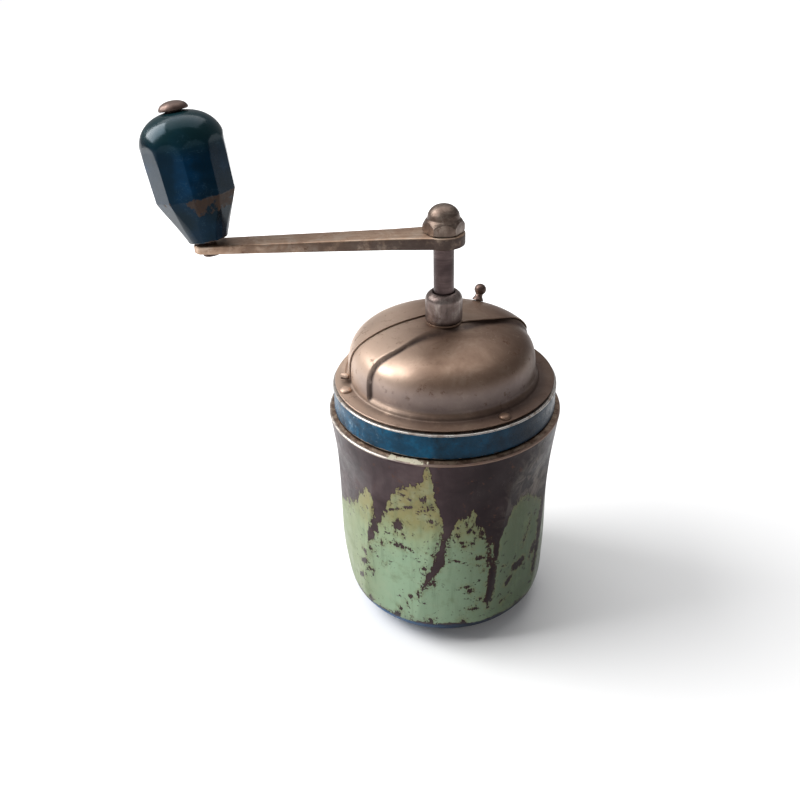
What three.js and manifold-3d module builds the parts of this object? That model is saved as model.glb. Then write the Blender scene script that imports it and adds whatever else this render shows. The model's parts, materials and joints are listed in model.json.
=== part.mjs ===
// Hand crank coffee grinder: a fluted receiver cup, a lift-off mill with a domed hopper and conical burrs,
// and a crank with a free-turning knob.
// Millimetres, +Z up. The origin is the centre of the flat face that the cup stands on.

import * as THREE from 'three';
import { mergeVertices } from 'three/addons/utils/BufferGeometryUtils.js';
import Module from 'manifold-3d';

const wasm = await Module();
wasm.setup();

// ---------------------------------------------------------------- driving dimensions

const GAP = 0.3; // clearance between pieces that meet
const SHEET = 0.8; // pressed sheet metal

const CUP = {
  rimRadius: 48, // outer edge of the flared rim
  rimZ: 96.4,
  footRadius: 30, // flat face it stands on
  waistRadius: 45.7,
  mouthRadius: 45.1, // inner edge of the turned-in ledge
  flutes: 10,
  fluteDepth: 1.3,
  ridgeAzimuth: 262, // one ridge at half height, degrees
  slant: 0.2, // degrees of twist per millimetre of height
};

const BAND = { radius: 45.8, skirtRadius: 44.6, skirtZ: 86, bottomZ: 97.6, topZ: 108.1, flangeInner: 38.6 };

const FUNNEL = { topZ: 99, cornerZ: 88.6, floorZ: 75.1, floorRadius: 27, throatRadius: 11.4 };

const DOME = {
  flangeRadius: 44.8,
  flangeZ: 109.5, // top of the flat flange
  wallRadius: 38.3,
  topZ: 133.2,
  springZ: 112.9, // the shoulder curve starts here
  radialPower: 3.0,
  heightPower: 3.2,
  recess: 1.3, // how far the front half steps in
  recessWidth: 2.4,
  axisHole: 6.0,
};

const CHORD = 30; // azimuth of the line that divides the dome, degrees

const FILLER = { from: 50, to: 165, innerRadius: 13, sillZ: 116 }; // opening behind the shutter

const SHUTTER = { thickness: 0.7, brimRadius: 44.3, brimZ: 111.9, hubRadius: 7.2, lift: 2.0 };

const SHUTTER_KNOB = { azimuth: 60, radius: 28.5, lean: 28, hole: 1.2 };

const BUSHING = { radius: 7.35, bottomZ: 134.5, topZ: 146, spigotRadius: 5.6, spigotZ: 127.2 };

const SHAFT = { radius: 4.0, bottomZ: 54.3, shoulderZ: 164.9, tipRadius: 3.3, tipZ: 176.8 };

const BURR = {
  flangeRadius: 25.5,
  flangeTopZ: 74.8,
  flangeZ: 70,
  bodyRadius: 17,
  bottomZ: 58,
  boltRadius: 22,
  teeth: 12,
  ringToothDepth: 0.9,
  coneToothDepth: 0.8,
  toothTwist: 1.5, // degrees per millimetre of height
  coneBottomZ: 58.6,
  coneTopZ: 74,
  coneRadius: 12.3, // widest, below the teeth's tips
};

const BURR_PIN = { radius: 1.15, length: 17, z: 62 };

const BURR_BOLT = { headRadius: 2.6, radius: 1.5, topZ: 79.2, nutFlats: 5.5, nutHeight: 2.2 };

const BRIDGE = { legX: 17.5, sheet: 1.4, width: 11, bottomZ: 50.8, footX: 25.5, screwHole: 3.3 };

const LOWER_BUSH = { flangeRadius: 6.6, flangeHeight: 1.2, radius: 5.6, topZ: 57.2 };

const THRUST_WASHER = { radius: 3.4, bottomZ: 53.1, topZ: 54.0 };

const ADJUSTER = {
  headRadius: 7.6,
  headBottomZ: 40.8,
  headTopZ: 45.4,
  knurls: 20,
  knurlDepth: 0.5,
  shankRadius: 2.9,
  tipZ: 52.8,
  lockNutFlats: 11,
  lockNutBore: 3.2,
  lockNutBottomZ: 47.7,
};

const ARM = {
  azimuth: 183, // where the crank points at rest, degrees
  length: 88.3, // axis to axis
  bottomZ: 165.2,
  nutThickness: 4.7,
  knobThickness: 3.3,
  nutRadius: 8.3,
  flank: [[19, 6.1], [11.5, 6.7]], // along the arm and half its width, where it widens to the nut
  knobHalfWidth: 4.9,
  knobOverhang: 5.7,
  endChamfer: [1.8, 2.4], // along and across the arm
};

const CAP_NUT = { flats: 14, hexHeight: 5.1, domeRadius: 6.3, height: 10.2, boreDepth: 7.2 };

const KNOB = {
  facets: 10,
  height: 46.5,
  bottomRadius: 7.7,
  beltRadius: 15.2,
  beltHeight: 16.8,
  crownRadius: 15.6,
  crownHeight: 35.0,
  boreRadius: 2.6,
  leanOut: 8.2, // spindle tilt away from the shaft, degrees
  leanSide: -5.0, // and sideways, degrees
  seat: 1.45, // knob bottom above the arm's face, along the spindle
  turned: 10, // of the facets round the spindle, degrees
};

const SPINDLE = { radius: 2.3, tailZ: -5.2, tailRadius: 3.5, capRadius: 5.4, capHeight: 3.3 };

const KNOB_WASHER = { radius: 4.6, bottomZ: 0.85, topZ: 1.2 };

const RIVET = { places: [[200.5, 41.75], [303, 41.75], [68, 41.9]], shank: 1.2, hole: 1.5, headRadius: 2.3 };

// ---------------------------------------------------------------- finishes

const finish = (color, roughness, metalness) =>
  new THREE.MeshStandardMaterial({ color, roughness, metalness });

const MATERIAL = {
  cupPaint: () => finish(0x8ea387, 0.5, 0.2),
  bandPaint: () => finish(0x0c4a74, 0.35, 0.2),
  agedNickel: () => finish(0x8a7562, 0.35, 0.9),
  steel: () => finish(0x9a938c, 0.35, 1.0),
  darkSteel: () => finish(0x4a4340, 0.5, 0.9),
  tinPlate: () => finish(0xa8a39a, 0.4, 0.9),
  castIron: () => finish(0x3a3836, 0.6, 0.8),
  knobLacquer: () => finish(0x0a2c44, 0.15, 0.0),
};

// ---------------------------------------------------------------- geometry helpers

const rad = THREE.MathUtils.degToRad;
const smooth = (from, to, value) => THREE.MathUtils.smoothstep(value, from, to);
const point = (r, z) => new THREE.Vector2(r, z);
const profile = (pairs) => pairs.map(([r, z]) => point(r, z));

function signedVolume(position, index) {
  const [a, b, c] = [new THREE.Vector3(), new THREE.Vector3(), new THREE.Vector3()];
  let volume = 0;
  for (let i = 0; i < index.length; i += 3) {
    a.fromBufferAttribute(position, index[i]);
    b.fromBufferAttribute(position, index[i + 1]);
    c.fromBufferAttribute(position, index[i + 2]);
    volume += a.dot(b.cross(c)) / 6;
  }
  return volume;
}

/** Shares equal vertices, drops empty triangles and makes the faces point out. */
function weld(geometry) {
  const bare = geometry.clone();
  bare.deleteAttribute('normal');
  bare.deleteAttribute('uv');
  const welded = mergeVertices(bare, 1e-4);
  const source = welded.index.array;
  const index = [];
  for (let i = 0; i < source.length; i += 3) {
    const [a, b, c] = source.slice(i, i + 3);
    if (a !== b && b !== c && c !== a) index.push(a, b, c);
  }
  if (signedVolume(welded.attributes.position, index) < 0) index.reverse();
  welded.setIndex(index);
  welded.computeVertexNormals();
  return welded;
}

function toSolid(geometry) {
  const welded = weld(geometry);
  return new wasm.Manifold(new wasm.Mesh({
    numProp: 3,
    vertProperties: new Float32Array(welded.attributes.position.array),
    triVerts: new Uint32Array(welded.index.array),
  }));
}

function fromSolid(solid) {
  const mesh = solid.getMesh();
  const geometry = new THREE.BufferGeometry();
  geometry.setAttribute('position', new THREE.BufferAttribute(mesh.vertProperties, 3));
  geometry.setIndex(new THREE.BufferAttribute(mesh.triVerts, 1));
  geometry.computeVertexNormals();
  return geometry;
}

const cut = (base, ...tools) =>
  fromSolid(tools.reduce((solid, tool) => solid.subtract(toSolid(tool)), toSolid(base)));
const join = (...pieces) => fromSolid(pieces.map(toSolid).reduce((a, b) => a.add(b)));
const common = (a, b) => fromSolid(toSolid(a).intersect(toSolid(b)));

/** Turns a radius-height outline round Z. The outline closes on itself or ends on the axis. */
function revolve(points, segments = 32) {
  return weld(new THREE.LatheGeometry(points, segments).rotateX(Math.PI / 2));
}

/** A ring or tube: the outline is closed back to its first point. */
function revolveRing(pairs, segments = 32) {
  return revolve(profile([...pairs, pairs[0]]), segments);
}

/** Revolved outline whose vertices are then moved by a function of place and row. */
function revolveMoved(pairs, segments, move) {
  const geometry = new THREE.LatheGeometry(profile(pairs), segments).rotateX(Math.PI / 2);
  const position = geometry.attributes.position;
  const spot = new THREE.Vector3();
  for (let i = 0; i < position.count; i++) {
    spot.fromBufferAttribute(position, i);
    move(spot, i % pairs.length);
    position.setXYZ(i, spot.x, spot.y, spot.z);
  }
  return weld(geometry);
}

const pinAlongZ = (radius, bottom, top, segments = 24) =>
  new THREE.CylinderGeometry(radius, radius, top - bottom, segments)
    .rotateX(Math.PI / 2)
    .translate(0, 0, (top + bottom) / 2);

function extrudeUp(shape, bottom, height, curveSegments = 12) {
  return new THREE.ExtrudeGeometry(shape, { depth: height, bevelEnabled: false, curveSegments })
    .translate(0, 0, bottom);
}

function polygonShape(pairs) {
  return new THREE.Shape(pairs.map(([x, y]) => new THREE.Vector2(x, y)));
}

function hexagonShape(acrossFlats, holeRadius) {
  const corner = acrossFlats / Math.sqrt(3);
  const corners = [0, 1, 2, 3, 4, 5].map((i) => [
    corner * Math.cos(rad(60 * i + 30)),
    corner * Math.sin(rad(60 * i + 30)),
  ]);
  const shape = polygonShape(corners);
  if (holeRadius) {
    shape.holes.push(new THREE.Path().absarc(0, 0, holeRadius, 0, 2 * Math.PI, true));
  }
  return shape;
}

const onCircle = (radius, azimuth) => [radius * Math.cos(rad(azimuth)), radius * Math.sin(rad(azimuth))];

function mesh(name, geometry, material) {
  const piece = new THREE.Mesh(geometry, material());
  piece.name = name;
  return piece;
}

// ---------------------------------------------------------------- receiver cup

/** Outer profile of the cup before its flutes are pressed in. */
const CUP_OUTLINE = [
  [0, 0],
  [CUP.footRadius, 0],
  [37.1, 3.2],
  [42.6, 9.2],
  [45.1, 18],
  [45.8, 30],
  [CUP.waistRadius, 60],
  [46.1, 76],
  [46.9, 87],
  [CUP.rimRadius, CUP.rimZ - 0.6],
  [CUP.rimRadius - 0.5, CUP.rimZ],
];

/** How deep a flute is at a height: full along the wall, run out at the foot and below the rim. */
const fluteDepthAt = (z) => CUP.fluteDepth * smooth(6, 22, z) * (1 - smooth(72, 90, z));

/** Presses the flutes into a wall vertex and twists it with the slant of the ridges. */
function flute(spot) {
  const pitch = 2 * Math.PI / CUP.flutes;
  const angle = Math.atan2(spot.y, spot.x);
  const across = angle / pitch - Math.round(angle / pitch); // -0.5 to 0.5, a ridge at 0
  const radius = Math.hypot(spot.x, spot.y);
  const hollow = 1 - (1 - 2 * Math.abs(across)) ** 2; // 0 on the ridge, 1 in the flute
  const moved = radius - fluteDepthAt(spot.z) * hollow * smooth(20, 34, radius);
  const turned = angle + rad(CUP.ridgeAzimuth + CUP.slant * (spot.z - CUP.rimZ / 2));
  spot.x = moved * Math.cos(turned);
  spot.y = moved * Math.sin(turned);
}

function receiverCup() {
  const ledge = [
    [CUP.mouthRadius, CUP.rimZ + 0.5],
    [CUP.mouthRadius, CUP.rimZ - 0.4],
    [CUP.rimRadius - 1, CUP.rimZ - 1.4],
  ];
  const inside = [8, 6, 5, 3, 2].map((row) => [CUP_OUTLINE[row][0] - 1, CUP_OUTLINE[row][1] + 0.6]);
  const floor = [
    [CUP.footRadius - 1, 1],
    [0, 1],
  ];
  const columns = CUP.flutes * 6;
  return revolveMoved([...CUP_OUTLINE, ...ledge, ...inside, ...floor], columns, flute);
}

// ---------------------------------------------------------------- mill housing

function hopperShell() {
  const skirtInner = BAND.skirtRadius - SHEET;
  const bandInner = BAND.radius - SHEET;
  const shell = revolveRing([
    [BAND.skirtRadius, BAND.skirtZ],
    [BAND.skirtRadius, BAND.bottomZ],
    [BAND.radius - 0.4, BAND.bottomZ],
    [BAND.radius, BAND.bottomZ + 0.6],
    [BAND.radius, BAND.topZ - 0.5],
    [BAND.radius - 0.5, BAND.topZ],
    [BAND.flangeInner, BAND.topZ],
    [BAND.flangeInner, BAND.topZ - SHEET],
    [bandInner, BAND.topZ - SHEET],
    [bandInner, BAND.bottomZ + SHEET],
    [skirtInner, BAND.bottomZ + SHEET - 0.2],
    [skirtInner, BAND.skirtZ],
  ], 48);
  return cut(shell, ...rivetHoles());
}

function hopperFunnel() {
  const outer = BAND.skirtRadius - SHEET - GAP;
  const funnel = revolveRing([
    [FUNNEL.throatRadius, FUNNEL.floorZ],
    [FUNNEL.floorRadius, FUNNEL.floorZ],
    [outer, FUNNEL.cornerZ],
    [outer, FUNNEL.topZ],
    [outer - SHEET, FUNNEL.topZ],
    [outer - SHEET, FUNNEL.cornerZ + 0.4],
    [FUNNEL.floorRadius - 0.4, FUNNEL.floorZ + SHEET],
    [FUNNEL.throatRadius, FUNNEL.floorZ + SHEET],
  ], 36);
  return cut(funnel, ...boltHoles());
}

// ---------------------------------------------------------------- dome and shutter

/** Height of a dome skin above a radius; offset moves the whole skin outward. */
function domeHeight(radius, offset) {
  const reach = Math.min(1, radius / (DOME.wallRadius + offset));
  const rise = DOME.topZ + offset - DOME.springZ;
  return DOME.springZ + rise * (1 - reach ** DOME.radialPower) ** (1 / DOME.heightPower);
}

const DOME_REACH = [1, 0.996, 0.98, 0.94, 0.87, 0.77, 0.63, 0.47, 0.3];

/** Rows of a dome skin from its foot over the shoulder to the hole at the axis. */
function domeRows(offset, hole) {
  const wall = DOME.wallRadius + offset;
  const rows = DOME_REACH.map((reach) => [wall * reach, domeHeight(wall * reach, offset)]);
  return [...rows, [hole, domeHeight(hole, offset)]];
}

/** Along and across the dividing chord, with across growing toward the front. */
function chordCoordinates(spot) {
  const along = spot.x * Math.cos(rad(CHORD)) + spot.y * Math.sin(rad(CHORD));
  const across = spot.x * Math.sin(rad(CHORD)) - spot.y * Math.cos(rad(CHORD));
  return { along, across };
}

/** Distance of the crease in front of the axis: nearly straight, with a bulge at the left shoulder. */
function creaseAcross(along) {
  return 6.3 + 2.3 * Math.exp(-(((along + 25) / 8) ** 2));
}

/** 1 where the front of the dome is stepped in, 0 elsewhere, with a soft crease between. */
function recessAt(spot) {
  const { along, across } = chordCoordinates(spot);
  const half = DOME.recessWidth / 2;
  const crease = creaseAcross(along);
  return smooth(crease - half, crease + half, across) * smooth(110.2, 112.2, spot.z);
}

function stepFrontIn(spot) {
  const step = DOME.recess * recessAt(spot);
  const radius = Math.hypot(spot.x, spot.y);
  const wallness = smooth(0.6, 0.99, radius / DOME.wallRadius);
  spot.x -= step * wallness * spot.x / radius;
  spot.y -= step * wallness * spot.y / radius;
  spot.z -= step * Math.sqrt(1 - wallness ** 2) * smooth(DOME.springZ, DOME.springZ + 6, spot.z);
}

function hopperDome() {
  const outside = domeRows(0, DOME.axisHole);
  const inside = domeRows(-SHEET, DOME.axisHole).reverse();
  const rows = [
    [DOME.flangeRadius, DOME.flangeZ - SHEET],
    [DOME.flangeRadius, DOME.flangeZ],
    [DOME.wallRadius + 1.0, DOME.flangeZ],
    [DOME.wallRadius + 0.3, DOME.flangeZ + 0.8],
    ...outside,
    ...inside,
    [DOME.wallRadius - SHEET, DOME.flangeZ],
    [DOME.wallRadius, DOME.flangeZ - SHEET],
  ];
  const skin = revolveMoved([...rows, rows[0]], 48, stepFrontIn);
  return cut(skin, fillerOpening(), ...rivetHoles());
}

/** The rear opening that beans are poured through, as a cutting tool. */
function fillerOpening() {
  const shape = new THREE.Shape();
  shape.absarc(0, 0, 60, rad(FILLER.from), rad(FILLER.to), false);
  shape.absarc(0, 0, FILLER.innerRadius, rad(FILLER.to), rad(FILLER.from), true);
  return extrudeUp(shape, FILLER.sillZ, 30);
}

function liftBrim(spot) {
  const radius = Math.hypot(spot.x, spot.y);
  const azimuth = THREE.MathUtils.radToDeg(Math.atan2(spot.y, spot.x));
  const bump = Math.exp(-(((azimuth - 152) / 20) ** 2));
  spot.z += SHUTTER.lift * bump * smooth(DOME.wallRadius + 0.5, SHUTTER.brimRadius, radius);
}

function fillerShutter() {
  const near = GAP;
  const far = GAP + SHUTTER.thickness;
  const hub = BUSHING.spigotRadius + GAP;
  const wall = DOME.wallRadius;
  const rows = [
    [SHUTTER.brimRadius, SHUTTER.brimZ - SHUTTER.thickness],
    [SHUTTER.brimRadius, SHUTTER.brimZ],
    [wall + far + 1.2, SHUTTER.brimZ],
    [wall + far + 0.3, SHUTTER.brimZ + 0.8],
    ...domeRows(far, hub).slice(1),
    ...domeRows(near, hub).reverse(),
    [wall + near + 0.9, SHUTTER.brimZ - SHUTTER.thickness],
  ];
  const skin = revolveMoved([...rows, rows[0]], 48, liftBrim);
  return cut(common(skin, shutterPlan()), shutterKnobHole());
}

/** Plan of the shutter: everything behind the dividing line, and a hub ring round the axis. */
function shutterPlan() {
  const behind = extrudeUp(polygonShape([
    [0, 7.8],
    [-26, 7.7],
    [-31, 8.2],
    [-34, 9.2],
    [-36.6, 10.8],
    [-38.2, 14],
    [-60, 30],
    [-60, 60],
    [60, 60],
    [60, 2.2],
    [39.6, 2.2],
    [39.6, -4.6],
    [34, -4.8],
    [30, -5.8],
    [25, -7.5],
    [20, -7.9],
    [14, -6.9],
    [10, -5.8],
    [3, -5],
  ]), 100, 40).rotateZ(rad(CHORD));
  return join(behind, pinAlongZ(SHUTTER.hubRadius, 130, 139, 32));
}

/** Moves a geometry built at the origin to the shutter knob's foot, leaning outward. */
function atShutterKnob(geometry) {
  const [x, y] = onCircle(SHUTTER_KNOB.radius, SHUTTER_KNOB.azimuth);
  const z = domeHeight(SHUTTER_KNOB.radius, GAP + SHUTTER.thickness);
  return geometry
    .rotateY(rad(SHUTTER_KNOB.lean))
    .rotateZ(rad(SHUTTER_KNOB.azimuth))
    .translate(x, y, z);
}

const shutterKnobHole = () => atShutterKnob(pinAlongZ(SHUTTER_KNOB.hole, -3, 3, 12));

function shutterKnob() {
  return atShutterKnob(revolve(profile([
    [0, -0.6],
    [0.9, -0.6],
    [0.9, 0.6],
    [2.2, 0.6],
    [2.0, 1.2],
    [1.65, 1.9],
    [1.55, 2.8],
    [2.0, 3.5],
    [2.5, 4.9],
    [2.3, 6.0],
    [1.4, 7.1],
    [0, 7.4],
  ]), 12));
}

function rivetHoles() {
  return RIVET.places.map(([azimuth, placeRadius]) => {
    const [x, y] = onCircle(placeRadius, azimuth);
    return pinAlongZ(RIVET.hole, BAND.topZ - 3, DOME.flangeZ + 3, 12).translate(x, y, 0);
  });
}

/** Rivet with a round head above the dome flange and a small upset head below the shell. */
function domeRivet([azimuth, placeRadius]) {
  const { shank, headRadius } = RIVET;
  const [x, y] = onCircle(placeRadius, azimuth);
  const seat = DOME.flangeZ + 0.1;
  const tail = BAND.topZ - SHEET - 0.2;
  return revolve(profile([
    [0, tail - 0.9],
    [1.6, tail - 0.9],
    [2.0, tail - 0.3],
    [2.0, tail],
    [shank, tail],
    [shank, seat],
    [headRadius, seat],
    [headRadius - 0.3, seat + 0.7],
    [headRadius / 2, seat + 1.15],
    [0, seat + 1.3],
  ]), 10).translate(x, y, 0);
}

// ---------------------------------------------------------------- upper bearing

function topBushing() {
  const { radius, bottomZ, topZ, spigotRadius, spigotZ } = BUSHING;
  const bore = SHAFT.radius + GAP;
  return revolveRing([
    [bore, spigotZ],
    [spigotRadius, spigotZ],
    [spigotRadius, bottomZ],
    [radius - 0.3, bottomZ],
    [radius, bottomZ + 0.4],
    [radius, topZ - 2.6],
    [radius - 0.5, topZ - 1.2],
    [radius - 1.6, topZ - 0.2],
    [radius - 2.4, topZ],
    [bore + 0.3, topZ],
    [bore, topZ - 0.4],
  ], 24);
}

function bushingNut() {
  return extrudeUp(hexagonShape(16, BUSHING.spigotRadius + GAP), BUSHING.spigotZ + 0.4, 3);
}

// ---------------------------------------------------------------- burrs and lower bearing

/** Cuts twisted teeth into a cone by moving its rows in and out. */
function toothed(depth, twist, keepsSmooth) {
  return (spot, row) => {
    if (keepsSmooth(row)) return;
    const angle = Math.atan2(spot.y, spot.x) + rad(twist) * (spot.z - BURR.bottomZ);
    const saw = angle * BURR.teeth / (2 * Math.PI) + 1e-4; // clear of the seam, where rounding flips
    const radius = Math.hypot(spot.x, spot.y);
    const moved = radius + depth * (saw - Math.floor(saw));
    spot.x *= moved / radius;
    spot.y *= moved / radius;
  };
}

function burrRing() {
  const rows = [
    [BURR.bodyRadius, BURR.bottomZ],
    [BURR.bodyRadius, BURR.flangeZ],
    [BURR.flangeRadius, BURR.flangeZ],
    [BURR.flangeRadius, BURR.flangeTopZ],
    [11.4, BURR.flangeTopZ],
    [11.2, 70],
    [12.4, 64],
    [14.3, BURR.bottomZ],
  ];
  const keepsSmooth = (row) => row < 5 || row === rows.length;
  const teeth = toothed(BURR.ringToothDepth, BURR.toothTwist, keepsSmooth);
  const ring = revolveMoved([...rows, rows[0]], BURR.teeth * 3, teeth);
  return cut(ring, ...boltHoles());
}

function innerBurr() {
  const bore = SHAFT.radius + GAP;
  const rows = [
    [bore, BURR.coneBottomZ],
    [BURR.coneRadius, BURR.coneBottomZ],
    [BURR.coneRadius, 60],
    [9.3, 66],
    [5.6, 72],
    [4.9, BURR.coneTopZ],
    [bore, BURR.coneTopZ],
  ];
  const teeth = toothed(BURR.coneToothDepth, BURR.toothTwist, (row) => row < 1 || row > 4);
  const cone = revolveMoved([...rows, rows[0]], BURR.teeth * 3, teeth);
  return cut(cone, burrPinHole());
}

const alongX = (radius, length, z) => pinAlongZ(radius, -length / 2, length / 2, 16)
  .rotateY(Math.PI / 2)
  .translate(0, 0, z);
const burrPinHole = () => alongX(BURR_PIN.radius + GAP, 40, BURR_PIN.z);
const burrPin = () => alongX(BURR_PIN.radius, BURR_PIN.length, BURR_PIN.z);

const BOLT_AZIMUTHS = [0, 90, 180, 270];

function boltHoles() {
  return BOLT_AZIMUTHS.map((azimuth) => {
    const [x, y] = onCircle(BURR.boltRadius, azimuth);
    return pinAlongZ(BURR_BOLT.radius + GAP, 60, 80, 12).translate(x, y, 0);
  });
}

/** Cheese-head screw that clamps the burr ring to the funnel, with the bridge's feet under two of them. */
function burrScrew(azimuth) {
  const [x, y] = onCircle(BURR.boltRadius, azimuth);
  const { headRadius, radius, topZ } = BURR_BOLT;
  const underFoot = azimuth % 180 === 0;
  const seat = BURR.flangeZ - GAP - (underFoot ? BRIDGE.sheet + GAP : 0);
  return revolve(profile([
    [0, seat - 2],
    [headRadius - 0.4, seat - 2],
    [headRadius, seat - 1.5],
    [headRadius, seat],
    [radius, seat],
    [radius, topZ],
    [0, topZ],
  ]), 12).translate(x, y, 0);
}

function burrNut(azimuth) {
  const [x, y] = onCircle(BURR.boltRadius, azimuth);
  const seat = FUNNEL.floorZ + SHEET + GAP;
  const { nutFlats, nutHeight, radius } = BURR_BOLT;
  return extrudeUp(hexagonShape(nutFlats, radius + GAP), seat, nutHeight, 6).translate(x, y, 0);
}

/** Pressed strap that hangs from the burr ring and carries the lower end of the shaft. */
function bearingBridge() {
  const { legX, sheet, width, bottomZ, footX } = BRIDGE;
  const footTop = BURR.flangeZ - GAP;
  const outline = polygonShape([
    [-footX, footTop],
    [-footX, footTop - sheet],
    [-legX - sheet, footTop - sheet],
    [-legX - sheet, bottomZ + 2],
    [-legX + 1, bottomZ],
    [legX - 1, bottomZ],
    [legX + sheet, bottomZ + 2],
    [legX + sheet, footTop - sheet],
    [footX, footTop - sheet],
    [footX, footTop],
    [legX, footTop],
    [legX, bottomZ + 2.4],
    [legX - 1.6, bottomZ + sheet],
    [-legX + 1.6, bottomZ + sheet],
    [-legX, bottomZ + 2.4],
    [-legX, footTop],
  ]);
  const strap = new THREE.ExtrudeGeometry(outline, { depth: width, bevelEnabled: false })
    .rotateX(Math.PI / 2)
    .translate(0, width / 2, 0);
  return cut(strap, pinAlongZ(BRIDGE.screwHole, 40, 60, 16), ...boltHoles());
}

function lowerBush() {
  const { flangeRadius, flangeHeight, radius, topZ } = LOWER_BUSH;
  const bottom = BRIDGE.bottomZ + BRIDGE.sheet + GAP;
  const bore = SHAFT.radius + GAP;
  return revolveRing([
    [bore, bottom],
    [flangeRadius, bottom],
    [flangeRadius, bottom + flangeHeight],
    [radius, bottom + flangeHeight + 0.4],
    [radius - 0.2, topZ],
    [bore, topZ],
  ], 24);
}

const thrustWasher = () =>
  pinAlongZ(THRUST_WASHER.radius, THRUST_WASHER.bottomZ, THRUST_WASHER.topZ, 20);

/** Screw whose tip sets the height of the shaft; the knurled head is turned by hand. */
function adjustingScrew() {
  const { headRadius, headBottomZ, headTopZ, knurls, knurlDepth, shankRadius, tipZ } = ADJUSTER;
  const corners = Array.from({ length: 2 * knurls }, (_, i) =>
    onCircle(i % 2 ? headRadius - knurlDepth : headRadius, 180 * i / knurls));
  const knurled = extrudeUp(polygonShape(corners), headBottomZ, headTopZ - headBottomZ);
  return join(knurled, pinAlongZ(shankRadius, headTopZ - 0.5, tipZ, 20));
}

function adjusterLockNut() {
  const { lockNutFlats, lockNutBore, lockNutBottomZ } = ADJUSTER;
  const top = BRIDGE.bottomZ - GAP;
  return extrudeUp(hexagonShape(lockNutFlats, lockNutBore), lockNutBottomZ, top - lockNutBottomZ);
}

// ---------------------------------------------------------------- shaft and crank

function mainShaft() {
  const { radius, bottomZ, shoulderZ, tipRadius, tipZ } = SHAFT;
  const shaft = revolve(profile([
    [0, bottomZ],
    [radius - 0.5, bottomZ],
    [radius, bottomZ + 0.5],
    [radius, shoulderZ],
    [tipRadius, shoulderZ],
    [tipRadius, tipZ - 0.5],
    [tipRadius - 0.5, tipZ],
    [0, tipZ],
  ]), 24);
  return cut(shaft, burrPinHole());
}

/** Flat forged arm along +X from the shaft, wide and thick at the nut, with a square chamfered far end. */
function crankArm() {
  const { length, nutRadius, flank, knobHalfWidth, knobOverhang, bottomZ, nutThickness, knobThickness } = ARM;
  const end = length + knobOverhang;
  const [chamferAlong, chamferAcross] = ARM.endChamfer;
  const shape = new THREE.Shape();
  shape.moveTo(end, knobHalfWidth - chamferAcross);
  shape.lineTo(end - chamferAlong, knobHalfWidth);
  flank.forEach(([along, half]) => shape.lineTo(along, half));
  shape.lineTo(nutRadius * Math.cos(rad(60)), nutRadius * Math.sin(rad(60)));
  shape.absarc(0, 0, nutRadius, rad(60), rad(300), false);
  flank.toReversed().forEach(([along, half]) => shape.lineTo(along, -half));
  shape.lineTo(end - chamferAlong, -knobHalfWidth);
  shape.lineTo(end, chamferAcross - knobHalfWidth);
  shape.closePath();
  const hole = SHAFT.tipRadius + GAP;
  shape.holes.push(new THREE.Path().absarc(0, 0, hole, 0, 2 * Math.PI, true));
  const bar = extrudeUp(shape, bottomZ, nutThickness, 14);
  const position = bar.attributes.position;
  for (let i = 0; i < position.count; i++) {
    const taper = THREE.MathUtils.clamp((position.getX(i) - nutRadius) / (length - nutRadius), 0, 1.1);
    const top = bottomZ + nutThickness - (nutThickness - knobThickness) * taper;
    if (position.getZ(i) > bottomZ + 1) position.setZ(i, top);
  }
  return cut(bar, alongSpindle(pinAlongZ(SPINDLE.radius + GAP, -15, 15, 16)));
}

/** Acorn nut: chamfered hexagon, rounded cap, blind bore. */
function capNut() {
  const { flats, hexHeight, domeRadius, height, boreDepth } = CAP_NUT;
  const bottom = ARM.bottomZ + ARM.nutThickness + GAP;
  const corner = flats / Math.sqrt(3);
  const hexagon = extrudeUp(hexagonShape(flats), bottom, hexHeight).rotateZ(rad(30));
  const chamfer = revolve(profile([
    [0, bottom],
    [corner - 0.5, bottom],
    [corner, bottom + 0.4],
    [corner, bottom + hexHeight - 2.2],
    [corner - 1.5, bottom + hexHeight],
    [0, bottom + hexHeight],
  ]), 30);
  const cap = revolve(profile([
    [0, bottom + hexHeight - 1.4],
    [domeRadius, bottom + hexHeight - 1.4],
    [domeRadius - 0.2, bottom + hexHeight + 0.6],
    [domeRadius - 1.0, bottom + height - 2.7],
    [domeRadius - 2.6, bottom + height - 1.0],
    [domeRadius - 4.6, bottom + height - 0.2],
    [0, bottom + height],
  ]), 24);
  const bore = pinAlongZ(SHAFT.tipRadius + GAP, bottom - 1, bottom + boreDepth, 20);
  return cut(join(common(hexagon, chamfer), cap), bore);
}

/** Places a geometry on the leaning spindle: z 0 is where its axis crosses the arm's upper face. */
function alongSpindle(geometry) {
  return geometry
    .rotateX(rad(KNOB.leanSide * -1))
    .rotateY(rad(KNOB.leanOut))
    .translate(ARM.length, 0, ARM.bottomZ + ARM.knobThickness);
}

function knobSpindle() {
  const { radius, tailZ, tailRadius, capRadius, capHeight } = SPINDLE;
  const seat = KNOB.seat + KNOB.height + GAP;
  return alongSpindle(revolve(profile([
    [0, tailZ],
    [tailRadius - 0.5, tailZ],
    [tailRadius, tailZ + 0.4],
    [tailRadius, tailZ + 1.1],
    [radius, tailZ + 1.1],
    [radius, seat],
    [capRadius - 0.1, seat],
    [capRadius, seat + 0.5],
    [capRadius - 0.8, seat + 1.7],
    [capRadius - 2.7, seat + 2.9],
    [0, seat + capHeight],
  ]), 16));
}

function knobWasher() {
  const { radius, bottomZ, topZ } = KNOB_WASHER;
  const bore = SPINDLE.radius + GAP;
  return alongSpindle(revolveRing([
    [bore, bottomZ],
    [radius, bottomZ],
    [radius, topZ],
    [bore, topZ],
  ], 20));
}

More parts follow.
